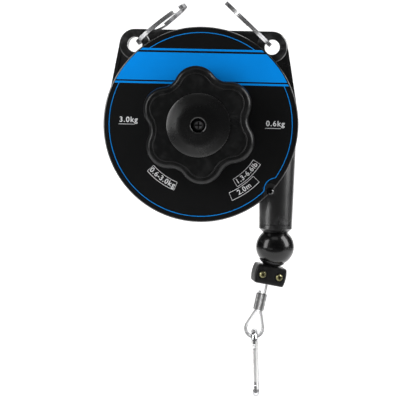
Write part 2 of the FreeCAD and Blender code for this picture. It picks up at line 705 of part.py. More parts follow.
# ---------------------------------------------------------------- knob
def knob_outline(inset, y):
    """Lobes and valleys as tangent arcs; an inset keeps the same centres."""
    half = math.radians(180 / knob_lobes)
    valley_inner = knob_tip_r - knob_lobe_depth
    valley_c = valley_inner + knob_valley_round
    off_axis = 2 * valley_c * math.cos(half)
    lobe_r = (knob_tip_r ** 2 + valley_c ** 2 - knob_tip_r * off_axis - knob_valley_round ** 2) / (
        2 * knob_tip_r + 2 * knob_valley_round - off_axis)
    lobe_c = knob_tip_r - lobe_r
    joint_share = lobe_r / (lobe_r + knob_valley_round)
    edges = []
    for lobe in range(knob_lobes):
        a = math.radians(360 / knob_lobes * lobe + 90 + knob_phase_deg)

        def at(r, angle):
            return Vec(r * math.cos(angle), y, axis_z + r * math.sin(angle))

        centre = at(lobe_c, a)
        before, after = at(valley_c, a - half), at(valley_c, a + half)
        joins = []
        for valley in (before, after):
            join = centre + (valley - centre) * joint_share
            joins.append(join + (centre - join).normalize() * inset)
        next_lobe = at(lobe_c, a + 2 * half)
        next_join = after + (next_lobe - after).normalize() * (knob_valley_round + inset)
        edges.append(arc(joins[0], at(knob_tip_r - inset, a), joins[1]))
        edges.append(arc(joins[1], at(valley_inner - inset, a + half), next_join))
    return Part.Wire(edges)


def knob_layers(levels):
    """Ruled skins between insets of the outline: each level is (y, inset)."""
    slices = [knob_outline(inset, y) for y, inset in levels]
    return Part.makeLoft(slices, True, True)


def knob():
    face = knob_face_y
    back = knob_back_y
    body = knob_layers([(back, 1.6), (back - 1.0, 0.9), (face + 5.0, 0.3), (face + 3.8, 0.0),
                        (face + 2.6, 0.25), (face + 1.2, 1.1), (face + 0.3, 2.3), (face, 3.3)])
    hollow = knob_layers([(back + 1, knob_wall + 0.9), (face + 3.6, knob_wall + 0.6)])
    hub = rod(knob_hub_r, face + 3.0, hub_back)
    body = body.cut(hollow).fuse(hub)
    ribs = []
    for k in range(knob_lobes):
        rib = Part.makeBox(knob_tip_r - knob_hub_r - knob_wall + 1, back - 4.0 - face - 3.0, knob_rib_t,
                           Vec(knob_hub_r - 0.5, face + 3.0, axis_z - knob_rib_t / 2))
        rib.rotate(Vec(0, 0, axis_z), Vec(0, 1, 0), -(360 / knob_lobes * k + 90 + knob_phase_deg))
        ribs.append(rib)
    body = body.fuse(ribs)
    seat = rod(dome_r + fit_gap, face - 1, face + dome_seat)
    holes = [seat, rod(m5_head_r + screw_head_gap, face - 1, screw_seat_y),
             rod(m5_r + screw_hole_gap, face, hub_back + 1),
             hexagon(hex_af + 0.2, screw_seat_y + 2.4, hub_back + 1)]
    return cleaned(body.cut(holes))


def knob_dome():
    face = knob_face_y
    top = face - dome_rise
    return turned([(dome_hole_r, face + dome_seat), (dome_r, face + dome_seat),
                   (dome_r, face - dome_edge + 0.3), (dome_r - 0.5, face - dome_edge),
                   (dome_r * 0.62, top + 0.9), (dome_hole_r + 2.0, top + 0.1),
                   (dome_hole_r + 0.8, top), (dome_hole_r, top + 0.6)])


def knob_screw():
    screw = pan_screw(m5_r - screw_bite_gap, hub_back + 5 - screw_seat_y, m5_head_r, m5_head_t, screw_seat_y)
    return placed(screw, 0, 0, axis_z)


# ---------------------------------------------------------------- rope, ball and tail
def rope_run():
    """From the drum down the tube and through the bush into the ball."""
    top = Vec(tube_x, lead_y, axis_z - 0.3)
    guide = Vec(tube_x, 0, tube_end_z + guide_rise)
    end = Vec(tube_x, 0, ball_z + 0.6)
    return follow(disc_face(top, guide - top, rope_r), rounded_moves([top, guide, end], 20.0))


def ball_hole_cone():
    top_r = ball_rope_r
    half = math.tan(math.radians(tail_swing_deg + 1.0))
    depth = ball_r + 1
    return Part.makeCone(top_r + half * depth, top_r, depth, ball_centre - Vec(0, 0, depth))


def ball_upper():
    ball = Part.makeSphere(ball_r, ball_centre)
    half = upright(2 * ball_r, ball_z + ball_half_gap / 2, ball_z + 2 * ball_r)
    spigot = upright(ball_socket_r - fit_gap, ball_z - ball_socket_depth + 0.2, ball_z + 1)
    bore = upright(ball_rope_r, ball_z - ball_r, ball_z + 2 * ball_r)
    return cleaned(ball.common(half).fuse(spigot).cut([bore, ball_hole_cone()]))


def ball_lower():
    ball = Part.makeSphere(ball_r, ball_centre)
    half = upright(2 * ball_r, ball_z - 2 * ball_r, ball_z - ball_half_gap / 2)
    socket = upright(ball_socket_r, ball_z - ball_socket_depth, ball_z + 1)
    return cleaned(ball.common(half).cut([socket, ball_hole_cone()]))


def hang_tail(shape):
    """Tail pieces are drawn straight down from the origin and then hung at the ball centre."""
    shape.rotate(Vec(0, 0, 0), Vec(0, 1, 0), tail_tilt_deg)
    shape.translate(ball_centre)
    return shape


def hang_clamp(shape):
    """Clamp pieces are twisted round the rope before they are hung."""
    shape.rotate(Vec(0, 0, 0), Vec(0, 0, 1), clamp_turn_deg)
    return hang_tail(shape)


def down_ring(profile):
    points = [Vec(r, 0, -s) for r, s in profile]
    return Part.Face(Part.makePolygon(points + points[:1])).revolve(Vec(0, 0, 0), Vec(0, 0, 1), 360)


def ball_seat():
    hugging_r = ball_r + ball_gap
    rim_r = math.sqrt(hugging_r ** 2 - seat_top ** 2)
    cone = down_ring([(0, seat_top), (rim_r + 0.35, seat_top), (rim_r, seat_top + 0.7),
                      (seat_bottom_r, clamp_top), (0, clamp_top)])
    bore = Part.makeCylinder(rope_r + 0.3, clamp_top + 1, Vec(0, 0, -clamp_top - 1))
    return hang_tail(cone.cut([Part.makeSphere(hugging_r), bore]))


def clamp_block(side):
    """One half of the clamp; side is -1 for the front half and +1 for the rear half."""
    w = clamp_width / 2
    top, bottom = -clamp_top, -(clamp_top + clamp_height)
    middle = (top + bottom) / 2
    y0 = side * fit_gap / 2
    edges = [line(Vec(-w, y0, top), Vec(w, y0, top)),
             arc(Vec(w, y0, top), Vec(w + clamp_bulge, y0, middle), Vec(w, y0, bottom)),
             line(Vec(w, y0, bottom), Vec(-w, y0, bottom)),
             arc(Vec(-w, y0, bottom), Vec(-w - clamp_bulge, y0, middle), Vec(-w, y0, top))]
    block = prism(edges, Vec(0, side * (clamp_half_depth - fit_gap / 2), 0))
    outer = [e for e in block.Edges if min(v.Y * side for v in e.Vertexes) > clamp_half_depth - 0.01]
    upright_edges = [e for e in block.Edges
                     if abs(e.Vertexes[0].Y - e.Vertexes[-1].Y) > clamp_half_depth / 2]
    block = block.makeFillet(clamp_corner_r, outer + upright_edges)
    reach = 2 * clamp_half_depth
    nut_seat = clamp_half_depth - m3_nut_t - clamp_nut_sink
    cuts = [Part.makeCylinder(rope_r + rope_grip_gap, clamp_height + 2, Vec(0, 0, bottom - 1))]
    for u in (-clamp_screw_spacing / 2, clamp_screw_spacing / 2):
        cuts.append(rod(m3_r + screw_hole_gap, -reach, reach, u, -clamp_screw_down))
        if side < 0:
            cuts.append(rod(m3_head_r + screw_head_gap, -reach, clamp_recess - clamp_half_depth,
                            u, -clamp_screw_down))
        else:
            cuts.append(hexagon(m3_nut_af + screw_hole_gap, nut_seat, reach, u, -clamp_screw_down))
    return hang_clamp(cleaned(block.cut(cuts)))


def clamp_screws():
    screws = []
    for u in (-clamp_screw_spacing / 2, clamp_screw_spacing / 2):
        seat = -clamp_half_depth + clamp_recess
        back = clamp_half_depth - clamp_nut_sink - 0.2
        screw = pan_screw(m3_r - screw_bite_gap, back - seat, m3_head_r, m3_head_t, seat)
        screw.rotate(Vec(0, 0, 0), Vec(0, 1, 0), 38 if u < 0 else -30)
        screws.append(placed(screw, u, 0, -clamp_screw_down))
    return hang_clamp(Part.makeCompound(screws))


def clamp_nuts():
    nuts = []
    for u in (-clamp_screw_spacing / 2, clamp_screw_spacing / 2):
        back = clamp_half_depth - clamp_nut_sink
        nut = hexagon(m3_nut_af, back - m3_nut_t, back, u, -clamp_screw_down)
        nuts.append(nut.cut(rod(m3_r, 0, 2 * clamp_half_depth, u, -clamp_screw_down)))
    return hang_clamp(Part.makeCompound(nuts))


def loop_moves():
    """The loop from the top of its right leg, round the bend and up to the top of its left leg."""
    lean_x, lean_z = math.sin(loop_away), math.cos(loop_away)
    centre = Vec(loop_centre_u, 0, -loop_bend_s)
    leg = (loop_bend_s - loop_top_s) / lean_z - thimble_bend_r * lean_x / lean_z
    right_up = Vec(-lean_x, 0, lean_z) * leg
    left_up = Vec(lean_x, 0, lean_z) * leg
    start = centre + Vec(lean_z, 0, lean_x) * thimble_bend_r + right_up
    return start, [-right_up, (centre, Vec(0, 1, 0), 180 + 2 * math.degrees(loop_away)), left_up]


def thimble():
    """A gutter of sheet whose open side faces outwards; the rope lies in it."""
    start, moves = loop_moves()
    outward = moves[0].cross(Vec(0, 1, 0)).normalize()
    if outward.x < 0:
        outward = outward * -1
    hold = rope_r + thimble_hold_gap
    skin = hold + thimble_sheet

    def at(n, y):
        return start + outward * n + Vec(0, y, 0)

    edges = [arc(at(0, hold), at(-hold, 0), at(0, -hold)),
             line(at(0, -hold), at(thimble_flange, -hold)),
             line(at(thimble_flange, -hold), at(thimble_flange, -skin)),
             line(at(thimble_flange, -skin), at(0, -skin)),
             arc(at(0, -skin), at(-skin, 0), at(0, skin)),
             line(at(0, skin), at(thimble_flange, skin)),
             line(at(thimble_flange, skin), at(thimble_flange, hold)),
             line(at(thimble_flange, hold), at(0, hold))]
    return hang_tail(follow(Part.Face(Part.Wire(edges)), moves))


def rope_tail():
    """Ball centre, clamp, right barrel of the ferrule, round the thimble, left barrel, cut end."""
    loop_start, moves = loop_moves()
    knee_z = loop_start.z + loop_start.x / math.tan(loop_away)
    touch = loop_start + moves[0]
    first = rounded_moves([Vec(0, 0, -0.6), Vec(0, 0, knee_z), touch], rope_kink_r)
    far = Vec(2 * loop_centre_u - touch.x, 0, touch.z)
    stub_u = 2 * loop_centre_u
    stub_end = Vec(stub_u, 0, stub_length - ferrule_top)
    last = rounded_moves([far, Vec(stub_u, 0, knee_z), stub_end], rope_kink_r)
    return hang_tail(follow(disc_face(Vec(0, 0, -0.6), Vec(0, 0, -1), rope_r), first + [moves[1]] + last))


def ferrule():
    top, bottom = -ferrule_top, -(ferrule_top + ferrule_length)
    barrels = []
    bores = []
    for u in (0.0, -ferrule_pitch):
        barrel = Part.makeCylinder(ferrule_barrel_r, ferrule_length, Vec(u, 0, bottom))
        barrels.append(barrel.makeChamfer(0.4, [e for e in barrel.Edges if len(e.Vertexes) == 1]))
        bores.append(Part.makeCylinder(rope_r + rope_grip_gap, ferrule_length + 2, Vec(u, 0, bottom - 1)))
    web = Part.makeBox(ferrule_pitch, ferrule_web, ferrule_length - 0.8,
                       Vec(-ferrule_pitch, -ferrule_web / 2, bottom + 0.4))
    return hang_tail(cleaned(barrels[0].fuse([barrels[1], web]).cut(bores)))


# ---------------------------------------------------------------- snap hook
def tail_point(u, s):
    return hang_tail(Part.Vertex(u, 0, -s)).Point


bend_centre = tail_point(loop_centre_u, loop_bend_s)
thimble_inner_r = thimble_bend_r - rope_r - thimble_hold_gap - thimble_sheet
hook_top_z = -(thimble_inner_r - hook_gap - hook_wire_d)
hook_r = hook_wire_d / 2
gate_r = hook_r + gate_over_wire


def hang_hook(shape):
    """Hook pieces are drawn with z = 0 at the thimble bend centre, then tilted and hung there."""
    shape.rotate(Vec(0, 0, 0), Vec(0, 1, 0), -hook_tilt_deg)
    shape.translate(bend_centre)
    return shape


def hook_depth(s):
    """The Z of a point at distance s below the top of the hook."""
    return hook_top_z - s


hook_front_y = hook_set_back - (hook_top_r + hook_bottom_r) / 2
hook_top_centre = Vec(0, hook_front_y + hook_top_r, hook_depth(hook_top_r + hook_r))
hook_bottom_centre = Vec(0, hook_front_y + hook_bottom_r, hook_depth(hook_length - hook_bottom_r - hook_r))


def hook_body():
    """Bent wire with a flat tongue for the gate's pin at one end and a flat nose at the other."""
    top_c, bottom_c = hook_top_centre, hook_bottom_centre
    lean = math.asin((hook_bottom_r - hook_top_r) / (top_c - bottom_c).Length) + math.atan2(
        bottom_c.y - top_c.y, top_c.z - bottom_c.z)
    out = Vec(0, math.cos(lean), math.sin(lean))
    front_y = hook_front_y
    hinge_z = hook_depth(gate_hinge_down)
    wire_end = hinge_z + gate_wire_gap
    nose_s = gate_end_down + gate_nose_gap
    nose_angle = math.degrees(math.asin((bottom_c.z - hook_depth(nose_s)) / hook_bottom_r))
    start = Vec(0, front_y, wire_end)
    spine = (bottom_c + out * hook_bottom_r) - (top_c + out * hook_top_r)
    turn = math.degrees(lean)
    moves = [Vec(0, 0, top_c.z - wire_end), (top_c, Vec(-1, 0, 0), 180 - turn), spine,
             (bottom_c, Vec(-1, 0, 0), 180 + turn - nose_angle)]
    body = follow(disc_face(start, Vec(0, 0, 1), hook_r), moves)
    t = hook_tongue_t
    flat = hook_wire_d - 1.0
    tongue = Part.makeBox(t, flat, wire_end - hinge_z + 0.5, Vec(-t / 2, front_y - flat / 2, hinge_z))
    eye = Part.makeCylinder(flat / 2, t, Vec(-t / 2, front_y, hinge_z), Vec(1, 0, 0))
    nose_z = hook_depth(gate_end_down - gate_nose_overlap)
    neck_end = hook_depth(nose_s + 1.2)
    neck = Part.makeBox(t, 2.9, nose_z - neck_end, Vec(-t / 2, front_y - 1.2, neck_end))
    head = Part.makeCylinder(1.7, t, Vec(-t / 2, front_y, nose_z), Vec(1, 0, 0))
    pin_hole = Part.makeCylinder(gate_pin_r + running_gap, 2 * t, Vec(-t, front_y, hinge_z), Vec(1, 0, 0))
    return hang_hook(cleaned(body.fuse([tongue, eye, neck, head]).cut(pin_hole)))


def gate_frame():
    return hook_front_y, hook_depth(gate_hinge_down), hook_depth(gate_end_down)


def hook_gate():
    y, hinge_z, end_z = gate_frame()
    top = hinge_z + gate_top_rise
    sleeve = Part.makeCylinder(gate_r, top - end_z, Vec(0, y, end_z))
    bore_end = end_z + gate_foot
    bore = Part.makeCylinder(gate_r - gate_wall, hinge_z - gate_head - bore_end, Vec(0, y, bore_end))
    slot_w = hook_tongue_t + 2 * gate_slot_gap
    wide = 4 * gate_r
    past = 0.5
    slots = [Part.makeBox(slot_w, wide, gate_slot_length,
                          Vec(-slot_w / 2, y - wide / 2, top + past - gate_slot_length)),
             Part.makeBox(slot_w, wide, past + gate_nose_overlap + gate_nose_room,
                          Vec(-slot_w / 2, y - wide / 2, end_z - past))]
    pin_hole = Part.makeCylinder(gate_pin_r, wide, Vec(-wide / 2, y, hinge_z), Vec(1, 0, 0))
    return hang_hook(cleaned(sleeve.cut([bore, pin_hole] + slots)))


def gate_pin():
    y, hinge_z, end_z = gate_frame()
    span = 2 * (gate_r - gate_pin_sink)
    return hang_hook(Part.makeCylinder(gate_pin_r, span, Vec(-span / 2, y, hinge_z), Vec(1, 0, 0)))


def gate_spring():
    y, hinge_z, end_z = gate_frame()
    wire_r = gate_spring_wire_d / 2
    coil_r = gate_r - gate_wall - wire_r - gate_spring_gap
    centre = Vec(0, y, hinge_z - gate_head - wire_r - gate_spring_gap)
    half_turns = 2 * gate_spring_turns
    moves = coil_moves(centre, Vec(0, 0, -1), Vec(1, 0, 0), Vec(0, 1, 0), coil_r,
                       gate_spring_length / half_turns, half_turns)
    return hang_hook(follow(disc_face(centre + Vec(coil_r, 0, 0), Vec(0, 1, 0), wire_r), moves))


# ---------------------------------------------------------------- split rings
def split_ring(side, lean_deg):
    """Two turns of flat wire; side is -1 for the left ring. Drawn round Z, then hung in its eye."""
    mean_r = (ring_inner_d + ring_strip) / 2
    shift = (ring_wire_t + ring_coil_gap) / 2
    cross = ring_cross_deg
    points = []
    sweep_deg = 720 - cross
    steps = 60
    for k in range(steps + 1):
        angle = cross / 2 + sweep_deg * k / steps
        share = (angle - (360 - cross / 2)) / cross
        share = min(1.0, max(0.0, share))
        smooth = share * share * (3 - 2 * share)
        a = math.radians(angle)
        points.append(Vec(mean_r * math.cos(a), mean_r * math.sin(a), -shift + 2 * shift * smooth))
    curve = Part.BSplineCurve()
    curve.interpolate(points)
    path = Part.Wire(curve.toShape())
    start = points[0]
    out = Vec(start.x, start.y, 0).normalize()
    half_w, half_t = ring_strip / 2, ring_wire_t / 2
    corner = [start + out * u + Vec(0, 0, 1) * v
              for u, v in ((-half_w, -half_t), (half_w, -half_t), (half_w, half_t), (-half_w, half_t))]
    section = Part.Wire(Part.makePolygon(corner + corner[:1]).Edges)
    pipe = Part.BRepOffsetAPI.MakePipeShell(path)
    pipe.setBiNormalMode(Vec(0, 0, 1))
    pipe.add(section)
    pipe.build()
    pipe.makeSolid()
    ring = pipe.shape()
    sag = ring_inner_d / 2 - math.sqrt((ring_inner_d / 2) ** 2 - (ear_boss_depth / 2) ** 2)
    centre_reach = eye_hole_d / 2 - sag - ring_seat_gap + ring_inner_d / 2
    ring.rotate(Vec(0, 0, 0), Vec(0, 0, 1), ring_ends_deg)
    ring.translate(Vec(centre_reach, 0, 0))
    turn = -lean_deg if side < 0 else lean_deg - 180
    ring.rotate(Vec(0, 0, 0), Vec(0, 1, 0), turn)
    ring.translate(Vec(side * eye_x, 0, 0))
    return ring


# ---------------------------------------------------------------- write every piece
pieces = {
    "rear_housing": rear_housing, "front_cover": front_cover, "face_label": face_label,
    "cover_screws": cover_screws, "tube_screw": tube_screw, "tube_end_cap": tube_end_cap,
    "rope_bush": rope_bush, "rear_bush": rear_bush, "drum": drum, "drum_lid": drum_lid,
    "journal_bushes": journal_bushes, "thrust_washer": thrust_washer, "mainspring": mainspring,
    "spring_anchor_pin": lambda: spring_anchor_pin(0), "rope_anchor": rope_anchor,
    "rope_on_drum": lambda: winding(rope_r), "rope_run": rope_run,
    "arbor": arbor, "friction_washers": friction_washers, "disc_spring": disc_spring,
    "knob": knob, "knob_dome": knob_dome, "knob_screw": knob_screw,
    "ball_upper": ball_upper, "ball_lower": ball_lower, "ball_seat": ball_seat,
    "clamp_front": lambda: clamp_block(-1), "clamp_rear": lambda: clamp_block(1),
    "clamp_screws": clamp_screws, "clamp_nuts": clamp_nuts, "rope_tail": rope_tail,
    "ferrule": ferrule, "thimble": thimble, "hook_body": hook_body, "hook_gate": hook_gate,
    "gate_pin": gate_pin, "gate_spring": gate_spring,
    "ring_left": lambda: split_ring(-1, ring_lean_left_deg),
    "ring_right": lambda: split_ring(1, ring_lean_right_deg),
}

os.makedirs("parts", exist_ok=True)
for name, make in pieces.items():
    shape = make()
    shape.exportStep("parts/" + name + ".step")
    print(name, len(shape.Solids), round(shape.Volume, 1), shape.isValid())
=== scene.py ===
"""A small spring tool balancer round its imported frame: label print, wire rope, metal and moulded finishes."""
import json
import math

import bmesh
import bpy
import numpy as np
from bpy.props import FloatProperty, FloatVectorProperty, IntProperty, PointerProperty
from mathutils import Matrix, Vector


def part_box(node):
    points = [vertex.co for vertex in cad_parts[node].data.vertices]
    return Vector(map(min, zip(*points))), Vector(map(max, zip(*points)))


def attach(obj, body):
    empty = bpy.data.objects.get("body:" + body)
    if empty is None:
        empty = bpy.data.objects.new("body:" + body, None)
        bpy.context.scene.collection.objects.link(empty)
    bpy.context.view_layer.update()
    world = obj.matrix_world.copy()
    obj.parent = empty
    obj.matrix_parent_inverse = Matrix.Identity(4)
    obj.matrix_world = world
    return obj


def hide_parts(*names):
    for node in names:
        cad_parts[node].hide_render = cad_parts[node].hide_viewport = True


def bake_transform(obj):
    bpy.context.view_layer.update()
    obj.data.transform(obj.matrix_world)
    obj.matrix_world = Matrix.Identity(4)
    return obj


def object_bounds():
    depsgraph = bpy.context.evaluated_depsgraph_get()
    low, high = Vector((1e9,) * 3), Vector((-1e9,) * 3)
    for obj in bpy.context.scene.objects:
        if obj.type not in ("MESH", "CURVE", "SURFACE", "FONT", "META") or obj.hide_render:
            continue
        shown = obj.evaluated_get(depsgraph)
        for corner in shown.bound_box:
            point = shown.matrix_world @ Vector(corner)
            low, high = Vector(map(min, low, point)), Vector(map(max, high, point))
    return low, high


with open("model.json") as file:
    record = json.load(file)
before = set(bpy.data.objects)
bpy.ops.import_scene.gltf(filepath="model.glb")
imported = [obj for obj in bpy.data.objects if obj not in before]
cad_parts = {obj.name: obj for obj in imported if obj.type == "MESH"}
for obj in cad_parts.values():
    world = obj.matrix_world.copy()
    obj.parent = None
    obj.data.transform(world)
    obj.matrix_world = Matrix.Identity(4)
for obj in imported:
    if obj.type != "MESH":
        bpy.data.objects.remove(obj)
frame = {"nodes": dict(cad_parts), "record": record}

bl_info = {
    "name": "Tool balancer",
    "version": (1, 0, 0),
    "blender": (4, 5, 0),
    "location": "3D View > Sidebar > Balancer",
    "description": "Finishes a spring tool balancer: label print, wire rope, metal and moulded finishes",
    "category": "Object",
}

CAD_BOX = [list(corner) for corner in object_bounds()]
MM = 0.001
ARC_STEP = math.radians(2.0)
ROPE_SIDES, ROPE_CORE_SIDES = 8, 10
STRAND_OVERLAP = 1.03    # strands drawn this much thicker, so that neighbours meet
COAT_ROUGHNESS = 0.12
DUST_COLOUR = (0.32, 0.31, 0.3)
# Faces marked with this attribute take painted light: painted shade in the hollows of screw heads, a painted
# highlight on the flat of the ferrule's groove.
PAINTED_LIGHT_MARK = "recess"
# Bounds of the painted shade in a screw head's hollow: a least depth under the top of the head, then a greatest
# depth and a greatest distance from the axis.
PAINTED_SHADE_TOP = 0.02 * MM
PAINTED_SHADE_DEPTH = 0.7       # of the radius of the screw's head
PAINTED_SHADE_REACH = 0.6       # of the radius of the screw's head
FIGURE_WEIGHT = 0.016    # how far the figures' outlines are moved out, of their size
PRINT_BACK = 0.2         # how far off the label the back of the ink lies, of the ink's thickness
BODY_OF = {node: body for body, nodes in frame["record"]["behaviour"]["bodies"].items() for node in nodes}


def middle(node):
    low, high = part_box(node)
    return (low + high) / 2


LABEL_LOW, LABEL_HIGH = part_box("face_label")
LABEL_CENTRE = middle("face_label")
LABEL_RADIUS = (LABEL_HIGH.x - LABEL_LOW.x) / 2 / MM
LABEL_FRONT = LABEL_LOW.y
TUBE_X = middle("tube_end_cap").x
CAP_END_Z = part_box("tube_end_cap")[0].z


# ---- sizes and colours
def length_value(name, description, millimetres):
    return FloatProperty(name=name, description=description, default=millimetres * MM, unit="LENGTH")


def colour_value(name, description, default):
    return FloatVectorProperty(name=name, description=description, default=default, subtype="COLOR",
                               size=3, min=0, max=1)


class BalancerSizes(bpy.types.PropertyGroup):
    """Sizes that a user may change"""
    print_thickness: length_value("Print thickness", "Thickness of the ink on the label", 0.05)
    ring_line_radius: length_value("Ring line radius", "Middle of the thin blue ring", 68.9)
    ring_line_width: length_value("Ring line width", "Width of the thin blue ring", 0.5)
    figure_height: length_value("Figure size", "Type size of the figures beside the knob", 5.6)
    arc_figure_height: length_value("Arc figure size", "Type size of the figures in the boxes", 5.4)
    rope_radius: length_value("Rope radius", "Outside radius of the wire rope", 0.95)
    rope_lay: length_value("Rope lay", "Length in which a strand goes once round", 11.0)
    rope_strands: IntProperty(name="Rope strands", description="Strands round the core",
                              default=7, min=3, max=12)


class BalancerColours(bpy.types.PropertyGroup):
    """Colours that a user may change"""
    casing: colour_value("Casing", "Paint of the casing", (0.005, 0.005, 0.0053))
    label: colour_value("Label", "Ground colour of the label", (0.003, 0.0032, 0.0035))
    ink_blue: colour_value("Blue ink", "Band and lines of the label", (0.0, 0.235, 0.74))
    ink_white: colour_value("White ink", "Figures of the label", (0.72, 0.73, 0.74))
    knob: colour_value("Knob", "Moulded knob", (0.0058, 0.006, 0.0062))
    ball: colour_value("Stop ball", "Moulded stop ball", (0.004, 0.004, 0.0043))
    clamp: colour_value("Clamp", "Moulded rope clamp", (0.006, 0.006, 0.0062))


# ---- shared effects for the materials
def new_group(name, inputs, outputs):
    """An empty shader group with its named values and results, and its two end nodes."""
    tree = bpy.data.node_groups.new(name, "ShaderNodeTree")
    kind = "NodeSocketFloat"
    for socket, value in inputs:
        tree.interface.new_socket(name=socket, in_out="INPUT", socket_type=kind).default_value = value
    for socket in outputs:
        tree.interface.new_socket(name=socket, in_out="OUTPUT", socket_type=kind)
    return tree, tree.nodes.new("NodeGroupInput"), tree.nodes.new("NodeGroupOutput")


def math_node(tree, operation, a, b):
    """The result of a sum on two values or sockets; a product is kept between 0 and 1."""
    node = tree.nodes.new("ShaderNodeMath")
    node.operation = operation
    node.use_clamp = operation == "MULTIPLY"
    for socket, value in zip(node.inputs, (a, b)):
        if isinstance(value, (int, float)):
            socket.default_value = value
        else:
            tree.links.new(value, socket)
    return node.outputs[0]


def ramp(tree, value, low, high, start=0.0, end=1.0):
    """A value that goes from start to end while the given one goes from low to high."""
    node = tree.nodes.new("ShaderNodeMapRange")
    tree.links.new(value, node.inputs["Value"])
    for socket, number in zip(("From Min", "From Max", "To Min", "To Max"), (low, high, start, end)):
        node.inputs[socket].default_value = number
    return node.outputs["Result"]


def noise(tree, place, scale, detail=4.0):
    node = tree.nodes.new("ShaderNodeTexNoise")
    tree.links.new(place, node.inputs["Vector"])
    if isinstance(scale, (int, float)):
        node.inputs["Scale"].default_value = scale
    else:
        tree.links.new(scale, node.inputs["Scale"])
    node.inputs["Detail"].default_value = detail
    return node.outputs["Fac"]


def grain_group():
    """Fine moulded or painted grain, and slow changes of tone."""
    tree, inlet, outlet = new_group("Surface grain", [("Scale", 900.0), ("Tone Scale", 40.0)],
                                    ["Height", "Tone"])
    place = tree.nodes.new("ShaderNodeTexCoord").outputs["Object"]
    cells = tree.nodes.new("ShaderNodeTexVoronoi")
    tree.links.new(place, cells.inputs["Vector"])
    tree.links.new(inlet.outputs["Scale"], cells.inputs["Scale"])
    fine = noise(tree, place, inlet.outputs["Scale"])
    tree.links.new(math_node(tree, "MULTIPLY", fine, cells.outputs["Distance"]), outlet.inputs["Height"])
    tree.links.new(ramp(tree, noise(tree, place, inlet.outputs["Tone Scale"], 6.0), 0.3, 0.7),
                   outlet.inputs["Tone"])
    return tree


def rub_group():
    """Rubbed edges: strongest on convex edges, broken up by noise."""
    tree, inlet, outlet = new_group("Rubbed edges", [("Amount", 0.5), ("Scale", 220.0)], ["Mask"])
    place = tree.nodes.new("ShaderNodeTexCoord").outputs["Object"]
    edge = ramp(tree, tree.nodes.new("ShaderNodeNewGeometry").outputs["Pointiness"], 0.52, 0.6)
    patches = ramp(tree, noise(tree, place, inlet.outputs["Scale"], 5.0), 0.42, 0.66)
    mask = math_node(tree, "MULTIPLY", math_node(tree, "MULTIPLY", edge, patches), inlet.outputs["Amount"])
    tree.links.new(mask, outlet.inputs["Mask"])
    return tree


def dust_group():
    """Light dust on what faces up."""
    tree, inlet, outlet = new_group("Settled dust", [("Amount", 0.1), ("Scale", 160.0)], ["Mask"])
    place = tree.nodes.new("ShaderNodeTexCoord").outputs["Object"]
    split = tree.nodes.new("ShaderNodeSeparateXYZ")
    tree.links.new(tree.nodes.new("ShaderNodeNewGeometry").outputs["Normal"], split.inputs[0])
    upward = ramp(tree, split.outputs["Z"], 0.2, 1.0)
    specks = ramp(tree, noise(tree, place, inlet.outputs["Scale"], 8.0), 0.4, 0.75)
    mask = math_node(tree, "MULTIPLY", math_node(tree, "MULTIPLY", upward, specks), inlet.outputs["Amount"])
    tree.links.new(mask, outlet.inputs["Mask"])
    return tree


def drawn_group():
    """Fine lines along Z, as on drawn wire and brushed sheet."""
    tree, inlet, outlet = new_group("Drawn lines", [("Scale", 2600.0)], ["Height", "Tone"])
    mapping = tree.nodes.new("ShaderNodeMapping")
    mapping.inputs["Scale"].default_value = (1.0, 1.0, 0.04)
    tree.links.new(tree.nodes.new("ShaderNodeTexCoord").outputs["Object"], mapping.inputs["Vector"])
    lines = noise(tree, mapping.outputs["Vector"], inlet.outputs["Scale"], 3.0)
    tree.links.new(lines, outlet.inputs["Height"])
    slow = noise(tree, mapping.outputs["Vector"], 300.0, 5.0)
    tree.links.new(ramp(tree, slow, 0.3, 0.7), outlet.inputs["Tone"])
    return tree


GROUPS = {}
MATERIALS = {}


def effect(tree, name, **values):
    """A node with one of the shared effects, which is made when it is first asked for."""
    maker = {"grain": grain_group, "rub": rub_group, "dust": dust_group, "drawn": drawn_group}[name]
    if name not in GROUPS:
        GROUPS[name] = maker()
    node = tree.nodes.new("ShaderNodeGroup")
    node.node_tree = GROUPS[name]
    for socket, value in values.items():
        node.inputs[socket.replace("_", " ")].default_value = value
    return node


def mixed(tree, mask, below, above):
    """One colour laid over another by a mask; each is a colour or a socket."""
    node = tree.nodes.new("ShaderNodeMix")
    node.data_type = "RGBA"
    tree.links.new(mask, node.inputs[0])
    for socket, value in ((node.inputs[6], below), (node.inputs[7], above)):
        if isinstance(value, tuple):
            socket.default_value = (*value, 1.0)
        else:
            tree.links.new(value, socket)
    return node.outputs[2]


